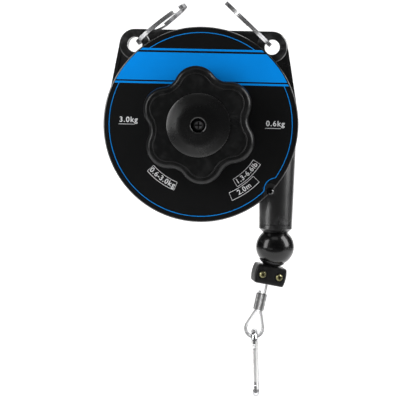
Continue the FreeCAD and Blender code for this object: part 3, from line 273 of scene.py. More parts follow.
def finish(name, light, dark, roughness, metallic=0.0, pattern="grain", depth=0.0001, strength=0.25,
           scale=900.0, tone_scale=40.0, rub=0.0, rub_colour=(0.2, 0.2, 0.2), dust=0.0, coat=0.0,
           specular=0.5, edge=1.0, recess=None, painted_light_metallic=1.0):
    """A material with two tones, a fine surface, rubbed edges, a little dust, and painted light on marked
    faces.
    """
    if name in MATERIALS:
        return MATERIALS[name]
    material = bpy.data.materials.new(name)
    material.use_nodes = True
    tree = material.node_tree
    shader = tree.nodes["Principled BSDF"]
    shader.inputs["Metallic"].default_value = metallic
    shader.inputs["Specular IOR Level"].default_value = specular
    shader.inputs["Specular Tint"].default_value = (edge, edge, edge, 1.0)
    shader.inputs["Coat Weight"].default_value = coat
    shader.inputs["Coat Roughness"].default_value = COAT_ROUGHNESS
    settings = {"Scale": scale}
    if pattern == "grain":
        settings["Tone_Scale"] = tone_scale
    surface = effect(tree, pattern, **settings)
    colour = mixed(tree, surface.outputs["Tone"], tuple(light), tuple(dark))
    if rub:
        colour = mixed(tree, effect(tree, "rub", Amount=rub).outputs["Mask"], colour, rub_colour)
    if dust:
        colour = mixed(tree, effect(tree, "dust", Amount=dust).outputs["Mask"], colour, DUST_COLOUR)
    # Painted light: marked faces take a painted colour and metallic level, painted shade in screw heads'
    # hollows and a painted highlight on the ferrule's groove.
    if recess:
        marked = tree.nodes.new("ShaderNodeAttribute")
        marked.attribute_name = PAINTED_LIGHT_MARK
        colour = mixed(tree, marked.outputs["Fac"], colour, recess)
        if painted_light_metallic < metallic:
            tree.links.new(ramp(tree, marked.outputs["Fac"], 0.0, 1.0, metallic, painted_light_metallic),
                           shader.inputs["Metallic"])
    tree.links.new(colour, shader.inputs["Base Color"])
    low, high = roughness
    tree.links.new(ramp(tree, surface.outputs["Tone"], 0.0, 1.0, low, high), shader.inputs["Roughness"])
    bump = tree.nodes.new("ShaderNodeBump")
    bump.inputs["Strength"].default_value = strength
    bump.inputs["Distance"].default_value = depth
    tree.links.new(surface.outputs["Height"], bump.inputs["Height"])
    tree.links.new(bump.outputs["Normal"], shader.inputs["Normal"])
    MATERIALS[name] = material
    return material


def tones(part, *factors):
    """Lighter and darker tones of one of the panel's colours."""
    colour = getattr(bpy.context.scene.balancer_colours, part)
    return [tuple(min(1.0, c * factor) for c in colour) for factor in factors]


DRAWN = {"pattern": "drawn", "depth": 0.00005}
DULL = {"metallic": 1.0, "strength": 0.5, "depth": 0.0002, "scale": 1200.0, "tone_scale": 420.0}


def casing_paint():
    return finish("casing_paint", *tones("casing", 0.75, 0.5), (0.26, 0.34), strength=0.35, depth=0.00012,
                  scale=1500.0, rub=0.5, rub_colour=(0.06, 0.06, 0.062), dust=0.008, specular=0.95)


def label_film():
    return finish("label_film", *tones("label", 1.0, 0.8), (0.36, 0.42), strength=0.06, scale=2400.0,
                  tone_scale=25.0, specular=0.25)


def blue_ink():
    return finish("blue_ink", *tones("ink_blue", 1.06, 0.88), (0.42, 0.5), strength=0.08, scale=2400.0,
                  tone_scale=14.0, specular=0.06)


def white_ink():
    return finish("white_ink", *tones("ink_white", 1.05, 0.86), (0.5, 0.6), strength=0.1, scale=3000.0,
                  tone_scale=120.0)


def knob_plastic():
    return finish("knob_plastic", *tones("knob", 0.9, 0.65), (0.26, 0.33), strength=0.18, scale=1800.0,
                  rub=0.35, rub_colour=(0.05, 0.05, 0.05), dust=0.02, specular=0.22)


def dome_plastic():
    return finish("dome_plastic", *tones("knob", 0.45, 0.35), (0.25, 0.31), strength=0.3, scale=2200.0,
                  dust=0.02, specular=0.5)


def ball_gloss():
    return finish("ball_gloss", *tones("ball", 0.7, 0.55), (0.2, 0.28), strength=0.05, scale=700.0,
                  tone_scale=60.0, rub=0.2, dust=0.02, coat=0.32, specular=0.2)


def clamp_plastic():
    return finish("clamp_plastic", *tones("clamp", 0.55, 0.35), (0.36, 0.46), strength=0.3, scale=1700.0,
                  rub=0.4, rub_colour=(0.05, 0.05, 0.05), dust=0.03, specular=0.25)


def seat_plastic():
    return finish("seat_plastic", *tones("clamp", 0.8, 0.6), (0.28, 0.36), strength=0.15, scale=1500.0,
                  specular=0.3)


def yellow_zinc():
    # The colour on marked faces is painted shade in the hollows of the clamp screws' heads.
    return finish("yellow_zinc", (0.3, 0.285, 0.15), (0.16, 0.15, 0.07), (0.24, 0.36), metallic=1.0,
                  strength=0.15, scale=3200.0, tone_scale=500.0, rub=0.4, rub_colour=(0.8, 0.76, 0.66),
                  recess=(0.06, 0.035, 0.012))


def zinc_steel():
    # The colour on marked faces is painted shade in the hollow of the knob screw's head.
    return finish("zinc_steel", (0.62, 0.62, 0.63), (0.44, 0.44, 0.46), (0.25, 0.38), metallic=1.0,
                  strength=0.15, scale=2600.0, tone_scale=400.0, rub=0.3, rub_colour=(0.8, 0.8, 0.8),
                  recess=(0.03, 0.03, 0.03))


def black_oxide():
    # The colour on marked faces is painted shade in the hollows of the cover and tube screws' heads.
    return finish("black_oxide", (0.05, 0.05, 0.052), (0.03, 0.03, 0.032), (0.22, 0.32), metallic=1.0,
                  strength=0.15, scale=2600.0, rub=0.9, rub_colour=(0.5, 0.5, 0.5),
                  recess=(0.005, 0.005, 0.005))


def bright_wire():
    return finish("bright_wire", (0.8, 0.8, 0.81), (0.62, 0.62, 0.64), (0.14, 0.24), metallic=0.95,
                  strength=0.1, edge=0.2, **DRAWN)


def ring_wire():
    return finish("ring_wire", (0.56, 0.56, 0.56), (0.36, 0.36, 0.38), (0.18, 0.28), metallic=0.85,
                  strength=0.1, edge=0.1, **DRAWN)


def rope_wire():
    return finish("rope_wire", (0.7, 0.7, 0.7), (0.4, 0.4, 0.41), (0.28, 0.4), metallic=0.8,
                  strength=0.3, scale=4200.0, **DRAWN)


def dull_aluminium():
    return finish("dull_aluminium", (0.5, 0.5, 0.5), (0.24, 0.24, 0.24), (0.34, 0.5), **DULL)


def pressed_aluminium():
    # The near white, hardly metallic colour on marked faces is a painted highlight on the flat of the groove.
    return finish("pressed_aluminium", (0.31, 0.31, 0.31), (0.16, 0.16, 0.16), (0.34, 0.5),
                  recess=(0.95, 0.95, 0.95), painted_light_metallic=0.1, **DULL)


def thimble_sheet():
    return finish("thimble_sheet", (0.86, 0.86, 0.86), (0.7, 0.7, 0.71), (0.16, 0.3), metallic=0.6,
                  strength=0.2, scale=1500.0, tone_scale=260.0)


def gate_nickel():
    return finish("gate_nickel", (0.88, 0.88, 0.87), (0.78, 0.78, 0.78), (0.26, 0.34), metallic=0.7,
                  strength=0.1, edge=0.4, **DRAWN)


def acetal():
    return finish("acetal", (0.7, 0.69, 0.66), (0.6, 0.59, 0.55), (0.35, 0.45), strength=0.1)


def sintered_bronze():
    return finish("sintered_bronze", (0.6, 0.42, 0.2), (0.4, 0.27, 0.13), (0.4, 0.55), metallic=1.0,
                  strength=0.4, scale=2600.0)


def fibre_lining():
    return finish("fibre_lining", (0.13, 0.09, 0.06), (0.07, 0.05, 0.035), (0.7, 0.85), strength=0.5,
                  scale=1400.0)


def blued_strip():
    return finish("blued_strip", (0.22, 0.24, 0.28), (0.13, 0.14, 0.17), (0.25, 0.36), metallic=1.0,
                  strength=0.2, **DRAWN)


# ---- meshes
def add_piece(name, mesh, body, material, replaced=()):
    """A finished piece that rides on a body and stands for the frame nodes named last."""
    piece = bpy.data.objects.new(name, mesh)
    bpy.context.scene.collection.objects.link(piece)
    mesh.materials.clear()
    mesh.materials.append(material)
    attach(piece, body)
    if replaced:
        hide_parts(*replaced)
    return piece


def applied(source):
    """The evaluated mesh of an object that is then removed."""
    bpy.context.view_layer.update()
    shown = source.evaluated_get(bpy.context.evaluated_depsgraph_get())
    mesh = bpy.data.meshes.new_from_object(shown)
    bpy.data.objects.remove(source)
    return mesh


def mesh_of(work, name):
    """A new mesh from a bmesh that is then freed."""
    mesh = bpy.data.meshes.new(name)
    work.to_mesh(mesh)
    work.free()
    return mesh


def refined(node, material, sharp_deg=32.0):
    """A joined and smoothly shaded copy of a frame node, which stands for that node."""
    mesh = frame["nodes"][node].data.copy()
    if "custom_normal" in mesh.attributes:
        mesh.attributes.remove(mesh.attributes["custom_normal"])
    work = bmesh.new()
    work.from_mesh(mesh)
    bmesh.ops.remove_doubles(work, verts=work.verts, dist=0.001 * MM)
    work.to_mesh(mesh)
    work.free()
    mesh.shade_smooth()
    mesh.set_sharp_from_angle(angle=math.radians(sharp_deg))
    carrier = bpy.data.objects.new(node + "_work", mesh)
    bpy.context.scene.collection.objects.link(carrier)
    weighted = carrier.modifiers.new("Even normals", "WEIGHTED_NORMAL")
    weighted.keep_sharp = True
    return add_piece(node + "_finished", applied(carrier), BODY_OF[node], material, (node,))


def mark_painted_light(faces, layer, chosen):
    """Marks the chosen faces, so that their material gives them its painted light: painted shade on screws, a
    painted highlight on the ferrule.
    """
    for face in faces:
        value = (1, 1, 1, 1) if chosen(face) else (0, 0, 0, 1)
        for loop in face.loops:
            loop[layer] = value


def screws(node, material):
    """Finished screws whose cross or socket hollow is marked, so that it takes painted shade.

    Each screw is an island of the mesh. It lies along its longest direction, and its head is where it is
    widest. The hollow is what lies under the top of the head, near the middle, and it takes the painted shade.
    """
    piece = refined(node, material)
    mesh = piece.data
    work = bmesh.new()
    work.from_mesh(mesh)
    layer = work.loops.layers.float_color.new(PAINTED_LIGHT_MARK)
    pending = set(work.verts)
    while pending:
        first = pending.pop()
        island, edge_of_island = {first}, [first]
        while edge_of_island:
            for edge in edge_of_island.pop().link_edges:
                for vert in edge.verts:
                    if vert not in island:
                        island.add(vert)
                        edge_of_island.append(vert)
        pending -= island
        points = np.array([v.co for v in island])
        centre = points.mean(axis=0)
        along = np.linalg.eigh(np.cov((points - centre).T))[1][:, -1]
        wide = [np.linalg.norm(p - centre - along * np.dot(p - centre, along)) for p in points]
        head_side = np.dot(points[int(np.argmax(wide))] - centre, along)
        along = Vector(along if head_side > 0 else -along)
        middle_point = Vector(centre)
        top = max((v.co - middle_point).dot(along) for v in island)
        head_radius = max(wide)

        # Faces in the hollow of the head, which take painted shade.
        def in_painted_shade(face):
            arm = face.calc_center_median() - middle_point
            depth = top - arm.dot(along)
            off_axis = (arm - along * arm.dot(along)).length
            return (PAINTED_SHADE_TOP < depth < PAINTED_SHADE_DEPTH * head_radius
                    and off_axis < PAINTED_SHADE_REACH * head_radius)

        mark_painted_light({f for v in island for f in v.link_faces}, layer, in_painted_shade)
    work.to_mesh(mesh)
    work.free()
    return piece


def paint_inside(node, material):
    """A frame node that stays as it is and only takes a material."""
    mesh = frame["nodes"][node].data
    mesh.materials.clear()
    mesh.materials.append(material)


def on_label(x, z, lift=0.0):
    """A place on the label, in millimetres from its middle, lifted off it by some metres."""
    return Vector((LABEL_CENTRE.x + x * MM, LABEL_FRONT - lift, LABEL_CENTRE.z + z * MM))


def arc_points(x, z, radius, start, end):
    """Points on an arc, in millimetres from the middle of the label; angles in degrees."""
    count = max(2, math.ceil(abs(math.radians(end - start)) / ARC_STEP))
    angles = [math.radians(start + (end - start) * k / count) for k in range(count + 1)]
    return [(x + radius * math.cos(a), z + radius * math.sin(a)) for a in angles]


def printed(name, shapes, material):
    """Flat printed shapes with the thickness of the ink; a shape is a closed loop of points."""
    thickness = bpy.context.scene.balancer_sizes.print_thickness
    work = bmesh.new()
    for loop in shapes:
        front = [work.verts.new(on_label(x, z, thickness)) for x, z in loop]
        back = [work.verts.new(on_label(x, z, PRINT_BACK * thickness)) for x, z in loop]
        work.faces.new(front)
        work.faces.new(back[::-1])
        for k in range(len(loop)):
            after = (k + 1) % len(loop)
            work.faces.new((front[k], back[k], back[after], front[after]))
    bmesh.ops.recalc_face_normals(work, faces=work.faces)
    add_piece(name, mesh_of(work, name), "housing", material)


def across(low, high, radius):
    """A level stripe of the label between two heights, cut off by the label's edge."""
    right_low, right_high = math.degrees(math.asin(low / radius)), math.degrees(math.asin(high / radius))
    right = arc_points(0, 0, radius, right_low, right_high)
    left = arc_points(0, 0, radius, 180 - right_high, 180 - right_low)
    return right + left


def thin_arc(x, z, radius, width, start, end):
    """The closed outline of a line of some width along an arc."""
    return (arc_points(x, z, radius + width / 2, start, end)
            + arc_points(x, z, radius - width / 2, end, start))


class BALANCER_OT_label_print(bpy.types.Operator):
    """Print the blue band and lines, and the white boxes and bars, on the label"""
    bl_idname = "balancer.label_print"
    bl_label = "Label print"

    # Millimetres from the middle of the label; angles in degrees.
    edge_gap = 0.25
    band, upper_line, lower_line = (32.8, 53.6), (55.1, 56.6), (30.2, 31.7)
    notch_radius = 9.0
    notch_down = 47.4
    box_line = 0.38
    side_share = 20.0        # degrees to each side, for a line as wide as its radius
    boxes = ((46.6, 53.0, 222.3, 249.3), (47.7, 54.1, 302.3, 328.0), (55.4, 61.6, 294.3, 317.3))
    bars = ((-55.6, -0.9), (54.6, -1.6))
    bar_reach, bar_width = 6.0, 0.35

    def ring_line(self, sizes):
        """The thin ring inside the label's edge, open at the band, notched round the tube's screw."""
        radius, width = sizes.ring_line_radius / MM, sizes.ring_line_width / MM
        top = math.degrees(math.asin(self.upper_line[1] / radius))
        side = math.degrees(math.asin(self.lower_line[0] / radius))
        notch = self.notch_radius
        x, z = TUBE_X / MM - LABEL_CENTRE.x / MM, -self.notch_down
        reach = math.hypot(x, z)
        towards = math.degrees(math.atan2(z, x))
        spread = math.degrees(math.acos((radius ** 2 + reach ** 2 - notch ** 2) / (2 * radius * reach)))
        bend = math.degrees(math.acos((notch ** 2 + reach ** 2 - radius ** 2) / (2 * notch * reach)))
        return [thin_arc(0, 0, radius, width, top, 180 - top),
                thin_arc(0, 0, radius, width, towards + spread, side),
                thin_arc(0, 0, radius, width, 180 - side, 360 + towards - spread),
                thin_arc(x, z, notch, width, towards + 180 - bend, towards + 180 + bend)]

    def boxed(self, inner, outer, start, end):
        """The four lines of a box between two arcs."""
        width = self.box_line
        lines = [thin_arc(0, 0, radius, width, start, end) for radius in (inner, outer)]
        near, far = width / inner * self.side_share, width / outer * self.side_share
        for a in (start, end):
            lines.append(arc_points(0, 0, inner, a - near, a + near)
                         + arc_points(0, 0, outer, a + far, a - far))
        return lines

    def execute(self, context):
        sizes = context.scene.balancer_sizes
        edge = LABEL_RADIUS - self.edge_gap
        bands = [across(*heights, edge) for heights in (self.band, self.upper_line, self.lower_line)]
        printed("label_band", bands, blue_ink())
        printed("label_ring_line", self.ring_line(sizes), blue_ink())
        lines = []
        for box in self.boxes:
            lines += self.boxed(*box)
        for x, z in self.bars:
            left, right, top = x - self.bar_reach, x + self.bar_reach, z + self.bar_width
            lines.append([(left, z), (right, z), (right, top), (left, top)])
        printed("label_boxes", lines, white_ink())
        return {"FINISHED"}


def letter_mesh(text, size, thickness, spacing=1.0):
    """Flat letters as a mesh, about their middle."""
    curve = bpy.data.curves.new("letters", "FONT")
    curve.body = text
    curve.size = size
    curve.align_x = "CENTER"
    curve.align_y = "CENTER"
    curve.extrude = thickness / 2
    curve.offset = size * FIGURE_WEIGHT
    curve.space_character = spacing
    carrier = bpy.data.objects.new("letters", curve)
    bpy.context.scene.collection.objects.link(carrier)
    return applied(carrier)


def standing(x, z, turn_deg, lift):
    """Turns a flat letter to face out of the label at a place on it."""
    upright = Matrix.Rotation(math.radians(90), 4, "X")
    turned = Matrix.Rotation(math.radians(-turn_deg), 4, "Y")
    return Matrix.Translation(on_label(x, z, lift)) @ turned @ upright


class BALANCER_OT_figures(bpy.types.Operator):
    """Print the plain figures of the scale: load on both sides of the knob, load and travel in the boxes"""
    bl_idname = "balancer.figures"
    bl_label = "Scale figures"

    # Text, and its place in millimetres from the middle of the label.
    beside_knob = (("3.0kg", -54.3, 2.6), ("0.6kg", 56.2, 2.0))
    beside_spacing = 1.18
    # Text, and its radius in millimetres and its middle in degrees.
    in_boxes = (("0.6-3.0kg", 49.8, 235.8), ("1.3-6.6lb", 50.9, 315.1), ("2.0m", 58.5, 305.8))
    # Step to the next character, of the type size.
    advance = {".": 0.27, "-": 0.34, "l": 0.25, "m": 0.84}
    usual_advance = 0.56
    ink_share, ink_lift = 0.8, 0.6

    def execute(self, context):
        sizes = context.scene.balancer_sizes
        thickness = sizes.print_thickness * self.ink_share
        lift = sizes.print_thickness * self.ink_lift
        work = bmesh.new()
        for text, x, z in self.beside_knob:
            mesh = letter_mesh(text, sizes.figure_height, thickness, self.beside_spacing)
            mesh.transform(standing(x, z, 0, lift))
            work.from_mesh(mesh)
        size = sizes.arc_figure_height
        for text, radius, centre in self.in_boxes:
            steps = [self.advance.get(c, self.usual_advance) * size / MM for c in text]
            along = -sum(steps) / 2
            for character, step in zip(text, steps):
                angle = centre + math.degrees((along + step / 2) / radius)
                a = math.radians(angle)
                mesh = letter_mesh(character, size, thickness)
                mesh.transform(standing(radius * math.cos(a), radius * math.sin(a), angle + 90, lift))
                work.from_mesh(mesh)
                along += step
        add_piece("label_figures", mesh_of(work, "label_figures"), "housing", white_ink())
        return {"FINISHED"}


class BALANCER_OT_casing(bpy.types.Operator):
    """Finish the casing, its cover, the guide tube's cap and the screws"""
    bl_idname = "balancer.casing"
    bl_label = "Casing"

    def execute(self, context):
        for node in ("rear_housing", "front_cover"):
            refined(node, casing_paint(), sharp_deg=28.0)
        refined("face_label", label_film())
        refined("tube_end_cap", casing_paint())
        for node in ("cover_screws", "tube_screw"):
            screws(node, black_oxide())
        return {"FINISHED"}


class BALANCER_OT_knob(bpy.types.Operator):
    """Finish the lobed knob, the bead inside its edge, its dome and its screw"""
    bl_idname = "balancer.knob"
    bl_label = "Knob"

    face_from_radius = 27.0 * MM
    face_depth = 0.05 * MM
    bead_inset = 2.1 * MM
    bead_width = 1.0 * MM
    bead_height = 0.5 * MM
    bead_sink = 0.1 * MM
    bead_steps = 360
    bead_sides = 6
    bead_sharp = math.radians(50.0)
    direction_steps = 3

    def outline(self, knob):
        """Evenly spaced points round the edge of the knob's front face, and how far front it lies."""
        centre = middle("knob_screw")
        outer = [v.co for v in knob.vertices
                 if math.hypot(v.co.x - centre.x, v.co.z - centre.z) > self.face_from_radius]
        front = min(place.y for place in outer)
        rim = sorted((math.atan2(place.z - centre.z, place.x - centre.x), place.x, place.z)
                     for place in outer if place.y < front + self.face_depth)
        rim = [Vector((x, z)) for _, x, z in rim]
        lengths = [(rim[(k + 1) % len(rim)] - p).length for k, p in enumerate(rim)]
        path, step, walked, at = [], sum(lengths) / self.bead_steps, 0.0, 0
        for k in range(self.bead_steps):
            while at < len(rim) - 1 and walked + lengths[at] < k * step:
                walked += lengths[at]
                at += 1
            path.append(rim[at].lerp(rim[(at + 1) % len(rim)], (k * step - walked) / lengths[at]))
        return path, front

    def bead(self, knob):
        """A moulded bead that follows the outline of the knob's front face, a little inside its edge."""
        path, front = self.outline(knob)
        work = bmesh.new()
        rows, sides, look = [], self.bead_sides, self.direction_steps
        for k, place in enumerate(path):
            along = (path[(k + look) % len(path)] - path[k - look]).normalized()
            inward = Vector((-along.y, along.x))
            row = []
            for j in range(sides + 1):
                a = math.pi * j / sides
                over = place + inward * (self.bead_inset - math.cos(a) * self.bead_width / 2)
                lift = self.bead_height * math.sin(a) if 0 < j < sides else -self.bead_sink
                row.append(work.verts.new((over.x, front - lift, over.y)))
            rows.append(row)
        for row, following in zip(rows, rows[1:] + rows[:1]):
            for j in range(sides + 1):
                after = (j + 1) % (sides + 1)
                work.faces.new((row[j], row[after], following[after], following[j]))
        bmesh.ops.recalc_face_normals(work, faces=work.faces)
        mesh = mesh_of(work, "knob_bead")
        mesh.shade_smooth()
        mesh.set_sharp_from_angle(angle=self.bead_sharp)
        add_piece("knob_bead", mesh, BODY_OF["knob"], knob_plastic())

    def execute(self, context):
        knob = refined("knob", knob_plastic(), sharp_deg=24.0)
        self.bead(knob.data)
        refined("knob_dome", dome_plastic(), sharp_deg=50.0)
        screws("knob_screw", zinc_steel())
        return {"FINISHED"}


class BALANCER_OT_ball_and_clamp(bpy.types.Operator):
    """Finish the stop ball, its seat and the rope clamp"""
    bl_idname = "balancer.ball_and_clamp"
    bl_label = "Ball and clamp"

    def execute(self, context):
        for node in ("ball_upper", "ball_lower"):
            refined(node, ball_gloss(), sharp_deg=40.0)
        refined("ball_seat", seat_plastic())
        for node in ("clamp_front", "clamp_rear"):
            refined(node, clamp_plastic())
        screws("clamp_screws", yellow_zinc())
        refined("clamp_nuts", yellow_zinc())
        return {"FINISHED"}


# ---- wire rope
def rope_tree(material):
    """Strands laid round a core along a curve."""
    tree = bpy.data.node_groups.new("Laid rope", "GeometryNodeTree")
    for name, way, kind in (("Geometry", "INPUT", "Geometry"), ("Strands", "INPUT", "Int"),
                            ("Rope Radius", "INPUT", "Float"), ("Lay", "INPUT", "Float"),
                            ("Step", "INPUT", "Float"), ("Geometry", "OUTPUT", "Geometry")):
        tree.interface.new_socket(name=name, in_out=way, socket_type="NodeSocket" + kind)
    inlet, outlet = tree.nodes.new("NodeGroupInput"), tree.nodes.new("NodeGroupOutput")

    def add(kind, **links):
        node = tree.nodes.new(kind)
        for socket, source in links.items():
            tree.links.new(source, node.inputs[socket.replace("_", " ")])
        return node

    def worked(operation, a, b):
        node = tree.nodes.new("ShaderNodeMath")
        node.operation = operation
        for socket, value in zip(node.inputs, (a, b)):
            if isinstance(value, float):
                socket.default_value = value
            else:
                tree.links.new(value, socket)
        return node.outputs[0]

    resample = add("GeometryNodeResampleCurve", Curve=inlet.outputs["Geometry"])
    resample.mode = "LENGTH"
    tree.links.new(inlet.outputs["Step"], resample.inputs["Length"])
    along = add("GeometryNodeSplineParameter").outputs["Length"]
    twist = worked("MULTIPLY", worked("DIVIDE", along, inlet.outputs["Lay"]), 2 * math.pi)
    tilted = add("GeometryNodeSetCurveTilt", Curve=resample.outputs[0], Tilt=twist)
    turn = worked("DIVIDE", math.pi, inlet.outputs["Strands"])
    sine = tree.nodes.new("ShaderNodeMath")
    sine.operation = "SINE"
    tree.links.new(turn, sine.inputs[0])
    share = worked("DIVIDE", sine.outputs[0], worked("ADD", sine.outputs[0], 1.0))
    strand_radius = worked("MULTIPLY", inlet.outputs["Rope Radius"], share)
    centre_radius = worked("SUBTRACT", inlet.outputs["Rope Radius"], strand_radius)
    places = add("GeometryNodeMeshCircle", Vertices=inlet.outputs["Strands"], Radius=centre_radius)
    strand = add("GeometryNodeCurvePrimitiveCircle",
                 Radius=worked("MULTIPLY", strand_radius, STRAND_OVERLAP))
    strand.inputs["Resolution"].default_value = ROPE_SIDES
    core = add("GeometryNodeCurvePrimitiveCircle", Radius=centre_radius)
    core.inputs["Resolution"].default_value = ROPE_CORE_SIDES
    spread = add("GeometryNodeInstanceOnPoints", Points=places.outputs["Mesh"],
                 Instance=strand.outputs["Curve"])
    profile = tree.nodes.new("GeometryNodeJoinGeometry")
    real = add("GeometryNodeRealizeInstances", Geometry=spread.outputs["Instances"])
    tree.links.new(real.outputs[0], profile.inputs[0])
    tree.links.new(core.outputs["Curve"], profile.inputs[0])
    swept = add("GeometryNodeCurveToMesh", Curve=tilted.outputs["Curve"], Profile_Curve=profile.outputs[0])
    swept.inputs["Fill Caps"].default_value = True
    smooth = add("GeometryNodeSetShadeSmooth", Geometry=swept.outputs["Mesh"])
    last = add("GeometryNodeRealizeInstances", Geometry=smooth.outputs["Geometry"])
    coat = add("GeometryNodeSetMaterial", Geometry=last.outputs["Geometry"])
    coat.inputs["Material"].default_value = material
    tree.links.new(coat.outputs["Geometry"], outlet.inputs["Geometry"])
    return tree


def laid_rope(name, route, sizes, tree, step):
    """A mesh of laid rope along a route of points in metres."""
    curve = bpy.data.curves.new(name, "CURVE")
    curve.dimensions = "3D"
    spline = curve.splines.new("POLY")
    spline.points.add(len(route) - 1)
    for point, place in zip(spline.points, route):
        point.co = (*place, 1.0)
    carrier = bpy.data.objects.new(name, curve)
    bpy.context.scene.collection.objects.link(carrier)
    modifier = carrier.modifiers.new("Laid rope", "NODES")
    modifier.node_group = tree
    values = {"Strands": sizes.rope_strands, "Rope Radius": sizes.rope_radius, "Lay": sizes.rope_lay,
              "Step": step}
    for item in tree.interface.items_tree:
        if item.in_out == "INPUT" and item.name in values:
            modifier[item.identifier] = values[item.name]
    return applied(carrier)


class BALANCER_OT_wire_rope(bpy.types.Operator):
    """Lay the wire rope: from the drum into the ball, and from the ball round the thimble"""
    bl_idname = "balancer.wire_rope"
    bl_label = "Wire rope"

    # Millimetres, across the hanging tail or down it from the middle of the ball.
    tail_tilt = math.radians(11.0)
    tail_start, tail_straight_end = 14.0, 30.0
    guide_above_cap = 11.1
    lead_back = 4.31
    ball_below_cap = 11.34
    ferrule_pitch = 3.9
    leg_top = 50.7
    stub_top = 35.4
    bend_down = 64.8
    bend_radius = 6.75
    kink_radius = 5.0
    run_end_above_ball = 0.6
    corner_steps, bend_steps = 6, 40
    tail_step, run_step = 0.35, 0.5

    def in_tail(self, u, s):
        """A place in the hanging tail, u across and s below the middle of the ball, in millimetres."""
        a = self.tail_tilt
        ball_z = CAP_END_Z - self.ball_below_cap * MM
        return Vector((TUBE_X + (u * math.cos(a) - s * math.sin(a)) * MM, 0,
                       ball_z - (u * math.sin(a) + s * math.cos(a)) * MM))

    def rounded(self, before, corner, after, radius):
        """Points of the arc that rounds a corner."""
        before, corner, after = Vector(before), Vector(corner), Vector(after)
        into, out = (corner - before).normalized(), (after - corner).normalized()
        turn = into.angle(out)
        start = corner - into * radius * math.tan(turn / 2)
        side = 1 if into.cross(out) > 0 else -1
        normal = Vector((-into.y, into.x)) * side
        centre = start + normal * radius
        points = []
        for k in range(self.corner_steps + 1):
            a = side * turn * k / self.corner_steps
            arm = -normal * radius
            points.append(centre + Vector((arm.x * math.cos(a) - arm.y * math.sin(a),
                                           arm.x * math.sin(a) + arm.y * math.cos(a))))
        return points

    def tail_route(self):
        """From the ball down through the ferrule, round the thimble and back up to the cut end."""
        centre_u = -self.ferrule_pitch / 2
        across, down = self.ferrule_pitch / 2, self.bend_down - self.leg_top
        away = math.asin(self.bend_radius / math.hypot(across, down)) - math.atan2(across, down)
        touch_u = centre_u + self.bend_radius * math.cos(away)
        touch_s = self.bend_down - self.bend_radius * math.sin(away)
        knee_s = touch_s - touch_u / math.tan(away)
        far_u = 2 * centre_u - touch_u
        above, stub = (0, self.tail_straight_end), (-self.ferrule_pitch, self.stub_top)
        route = [(0, self.tail_start), above]
        route += self.rounded(above, (0, knee_s), (touch_u, touch_s), self.kink_radius)
        for k in range(self.bend_steps + 1):
            a = -away + (math.pi + 2 * away) * k / self.bend_steps
            route.append((centre_u + self.bend_radius * math.cos(a),
                          self.bend_down + self.bend_radius * math.sin(a)))
        route += self.rounded((far_u, touch_s), (-self.ferrule_pitch, knee_s), stub, self.kink_radius)
        route.append(stub)
        return [self.in_tail(u, s) for u, s in route]

    def execute(self, context):
        sizes = context.scene.balancer_sizes
        tree = rope_tree(rope_wire())
        tail = laid_rope("rope_tail_laid", self.tail_route(), sizes, tree, self.tail_step * MM)
        add_piece("rope_tail_laid", tail, "tail", rope_wire(), ("rope_tail",))
        top_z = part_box("rope_run")[1].z
        ball_z = CAP_END_Z - self.ball_below_cap * MM
        guide = Vector((TUBE_X, 0, CAP_END_Z + self.guide_above_cap * MM))
        end = Vector((TUBE_X, 0, ball_z + self.run_end_above_ball * MM))
        route = [Vector((TUBE_X, self.lead_back * MM, top_z)), guide, end]
        run = laid_rope("rope_run_laid", route, sizes, tree, self.run_step * MM)
        piece = bpy.data.objects.new("rope_run_laid", run)
        context.scene.collection.objects.link(piece)
        run.materials.clear()
        run.materials.append(rope_wire())
        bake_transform(piece)
        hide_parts("rope_run")
        return {"FINISHED"}


class BALANCER_OT_rope_end(bpy.types.Operator):
    """Finish the ferrule and the thimble"""
    bl_idname = "balancer.rope_end"
    bl_label = "Ferrule and thimble"

    groove_reach = 0.9 * MM
    flat_enough = 0.9        # of a face's normal, towards the front or the back

    def execute(self, context):
        """Finish both; the flat faces in the ferrule's groove take a painted highlight, near white and hardly
        metallic.
        """
        piece = refined("ferrule", pressed_aluminium())
        middle_x, middle_z = middle("ferrule").x, middle("ferrule").z
        work = bmesh.new()
        work.from_mesh(piece.data)
        layer = work.loops.layers.float_color.new(PAINTED_LIGHT_MARK)

        # Flat faces along the middle of the groove, which take the painted highlight.
        def in_painted_highlight(face):
            centre = face.calc_center_median()
            lean = (centre.z - middle_z) * math.tan(BALANCER_OT_wire_rope.tail_tilt)
            return (abs(face.normal.y) > self.flat_enough
                    and abs(centre.x - middle_x - lean) < self.groove_reach)

        mark_painted_light(work.faces, layer, in_painted_highlight)
        work.to_mesh(piece.data)
        work.free()
        refined("thimble", thimble_sheet(), sharp_deg=40.0)
        return {"FINISHED"}


class BALANCER_OT_snap_hook(bpy.types.Operator):
    """Finish the snap hook, its gate and its pin"""
    bl_idname = "balancer.snap_hook"
    bl_label = "Snap hook"

    def execute(self, context):
        refined("hook_body", bright_wire())
        refined("hook_gate", gate_nickel())
        refined("gate_pin", zinc_steel())
        paint_inside("gate_spring", blued_strip())
        return {"FINISHED"}


class BALANCER_OT_split_rings(bpy.types.Operator):
    """Finish the two split rings that carry the balancer"""
    bl_idname = "balancer.split_rings"
    bl_label = "Split rings"

    def execute(self, context):
        for node in ("ring_left", "ring_right"):
            refined(node, ring_wire())
        return {"FINISHED"}


class BALANCER_OT_works(bpy.types.Operator):
    """Give the drum, the mainspring, the arbor and the brake their finishes"""
    bl_idname = "balancer.works"
    bl_label = "Winding works"

    def execute(self, context):
        finishes = {
            "drum": dull_aluminium, "drum_lid": dull_aluminium, "journal_bushes": sintered_bronze,
            "rear_bush": sintered_bronze, "thrust_washer": acetal, "rope_bush": acetal,
            "mainspring": blued_strip, "disc_spring": blued_strip, "spring_anchor_pin": zinc_steel,
            "rope_anchor": dull_aluminium, "rope_on_drum": rope_wire, "arbor": zinc_steel,
            "friction_washers": fibre_lining,
        }
        for node, material in finishes.items():
            paint_inside(node, material())
        return {"FINISHED"}


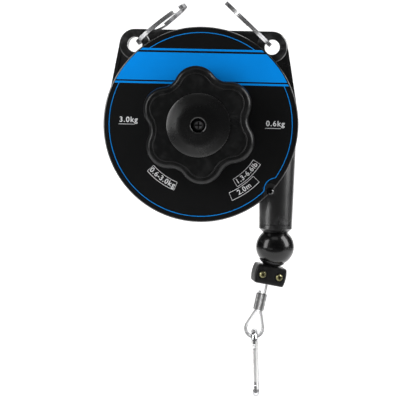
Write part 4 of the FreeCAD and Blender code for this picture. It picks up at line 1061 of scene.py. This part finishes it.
# ---- stage
def stage_material(name, colour, glow):
    """Pale and matt; camera, mirror and glass rays see it a little brighter than its light makes it."""
    material = bpy.data.materials.new(name)
    material.use_nodes = True
    tree = material.node_tree
    shader = tree.nodes["Principled BSDF"]
    shader.inputs["Base Color"].default_value = (*colour, 1.0)
    shader.inputs["Roughness"].default_value = 0.9
    shader.inputs["Specular IOR Level"].default_value = 0.0
    path = tree.nodes.new("ShaderNodeLightPath")
    seen = math_node(tree, "MAXIMUM", path.outputs["Is Camera Ray"], path.outputs["Is Glossy Ray"])
    seen = math_node(tree, "MAXIMUM", seen, path.outputs["Is Transmission Ray"])
    shader.inputs["Emission Color"].default_value = (1.0, 1.0, 1.0, 1.0)
    tree.links.new(math_node(tree, "MULTIPLY", seen, glow), shader.inputs["Emission Strength"])
    return material


class BALANCER_OT_stage(bpy.types.Operator):
    """Set up the camera, the floor, the backdrop and the lamps"""
    bl_idname = "balancer.stage"
    bl_label = "Stage"

    # Angles in degrees, the lens and the sensor in millimetres, places and distances in metres.
    azimuth, elevation, roll = 4.0, 4.0, 1.3
    lens, sensor = 135.0, 36.0
    distance, nearest = 1.125, 0.05
    aim_depth, aim_right, aim_up = -0.018, 0.0002, 0.0564
    floor_drop, wide, front_y, back_y, top_z = 0.14, 1.3, -0.45, 1.6, 1.3
    paper = (0.86, 0.86, 0.86)
    floor_glow, backdrop_glow = 0.64, 0.56
    # Name, place, width and height, and watts.
    lamps = (
        ("left_softbox", (-0.78, -0.52, 0.2), (0.42, 0.85), 8.0),
        ("right_softbox", (0.85, -0.14, 0.34), (0.46, 0.95), 11.6),
        ("front_softbox", (0.0, -0.7, 0.95), (0.8, 0.4), 1.2),
        ("back_softbox", (0.2, 0.9, 0.35), (0.8, 0.6), 2.0),
    )
    # What diffuse rays see all round, and the two levels mirror and glass rays see from below to above.
    diffuse_level = (0.33, 0.33, 0.33)
    mirror_heights, mirror_levels = (-0.45, 0.05), (0.22, 0.03)
    camera_level = (1.0, 1.0, 1.0)

    def camera(self, scene):
        """Aim the camera at the middle of the case, turned about its own line of sight."""
        a, e, r = (math.radians(v) for v in (self.azimuth, self.elevation, self.roll))
        back = Vector((math.sin(a) * math.cos(e), -math.cos(a) * math.cos(e), math.sin(e)))
        right = (-back).cross(Vector((0, 0, 1))).normalized()
        up = right.cross(-back)
        turned_right = right * math.cos(r) + up * math.sin(r)
        turned_up = up * math.cos(r) - right * math.sin(r)
        target = Vector((0, self.aim_depth, LABEL_CENTRE.z))
        place = target + back * self.distance - turned_right * self.aim_right - turned_up * self.aim_up
        data = bpy.data.cameras.new("Camera")
        data.lens = self.lens
        data.sensor_width = self.sensor
        data.clip_start = self.nearest
        camera = bpy.data.objects.new("Camera", data)
        scene.collection.objects.link(camera)
        turn = Matrix((turned_right, turned_up, back)).transposed()
        camera.matrix_world = Matrix.Translation(place) @ turn.to_4x4()
        scene.camera = camera

    def lamp(self, scene, aim, name, place, size, power):
        data = bpy.data.lights.new(name, "AREA")
        data.shape = "RECTANGLE"
        data.size, data.size_y = size
        data.energy = power
        lamp = bpy.data.objects.new(name, data)
        scene.collection.objects.link(lamp)
        lamp.location = place
        lamp.rotation_mode = "QUATERNION"
        lamp.rotation_quaternion = (Vector(place) - Vector(aim)).to_track_quat("Z", "Y")

    def plane(self, scene, name, corners, material):
        mesh = bpy.data.meshes.new(name)
        mesh.from_pydata(corners, [], [(0, 1, 2, 3)])
        mesh.materials.append(material)
        plane = bpy.data.objects.new(name, mesh)
        scene.collection.objects.link(plane)

    def world(self, scene):
        """Even light for diffuse rays; a dark room with a paler floor for mirror and glass rays."""
        world = bpy.data.worlds.new("Studio")
        scene.world = world
        world.use_nodes = True
        tree = world.node_tree
        background = tree.nodes["Background"]
        path = tree.nodes.new("ShaderNodeLightPath")
        split = tree.nodes.new("ShaderNodeSeparateXYZ")
        tree.links.new(tree.nodes.new("ShaderNodeTexCoord").outputs["Generated"], split.inputs[0])
        glossy, through = path.outputs["Is Glossy Ray"], path.outputs["Is Transmission Ray"]
        mirrored = math_node(tree, "MAXIMUM", glossy, through)
        room = ramp(tree, split.outputs["Z"], *self.mirror_heights, *self.mirror_levels)
        level = mixed(tree, mirrored, self.diffuse_level, room)
        level = mixed(tree, path.outputs["Is Camera Ray"], level, self.camera_level)
        tree.links.new(level, background.inputs["Color"])
        background.inputs["Strength"].default_value = 1.0

    def execute(self, context):
        scene = context.scene
        scene.view_settings.view_transform = "Standard"
        self.camera(scene)
        low, left, right = CAD_BOX[0][2] - self.floor_drop, -self.wide, self.wide
        front, back, top = self.front_y, self.back_y, self.top_z
        floor = [(left, front, low), (right, front, low), (right, back, low), (left, back, low)]
        wall = [(left, back, low), (right, back, low), (right, back, top), (left, back, top)]
        self.plane(scene, "floor", floor, stage_material("floor_paper", self.paper, self.floor_glow))
        self.plane(scene, "backdrop", wall,
                   stage_material("backdrop_paper", self.paper, self.backdrop_glow))
        for lamp in self.lamps:
            self.lamp(scene, (0.0, 0.0, LABEL_CENTRE.z), *lamp)
        self.world(scene)
        return {"FINISHED"}


class BALANCER_PT_panel(bpy.types.Panel):
    """The balancer's sizes, colours and steps"""
    bl_idname = "BALANCER_PT_panel"
    bl_label = "Tool balancer"
    bl_space_type = "VIEW_3D"
    bl_region_type = "UI"
    bl_category = "Balancer"

    def draw(self, context):
        for group in (context.scene.balancer_sizes, context.scene.balancer_colours):
            column = self.layout.column()
            for name in group.__annotations__:
                column.prop(group, name)
        for operator in OPERATORS:
            self.layout.operator(operator.bl_idname)


OPERATORS = (BALANCER_OT_stage, BALANCER_OT_casing, BALANCER_OT_label_print, BALANCER_OT_figures,
             BALANCER_OT_knob, BALANCER_OT_ball_and_clamp, BALANCER_OT_wire_rope, BALANCER_OT_rope_end,
             BALANCER_OT_snap_hook, BALANCER_OT_split_rings, BALANCER_OT_works)
CLASSES = (BalancerSizes, BalancerColours, *OPERATORS, BALANCER_PT_panel)


def register():
    for cls in CLASSES:
        bpy.utils.register_class(cls)
    bpy.types.Scene.balancer_sizes = PointerProperty(type=BalancerSizes)
    bpy.types.Scene.balancer_colours = PointerProperty(type=BalancerColours)


def unregister():
    del bpy.types.Scene.balancer_colours
    del bpy.types.Scene.balancer_sizes
    for cls in reversed(CLASSES):
        bpy.utils.unregister_class(cls)


def main():
    register()
    for operator in OPERATORS:
        area, name = operator.bl_idname.split(".")
        result = getattr(getattr(bpy.ops, area), name)()
        if result != {"FINISHED"}:
            raise RuntimeError(operator.bl_label + " did not finish")


if __name__ == "__main__":
    main()
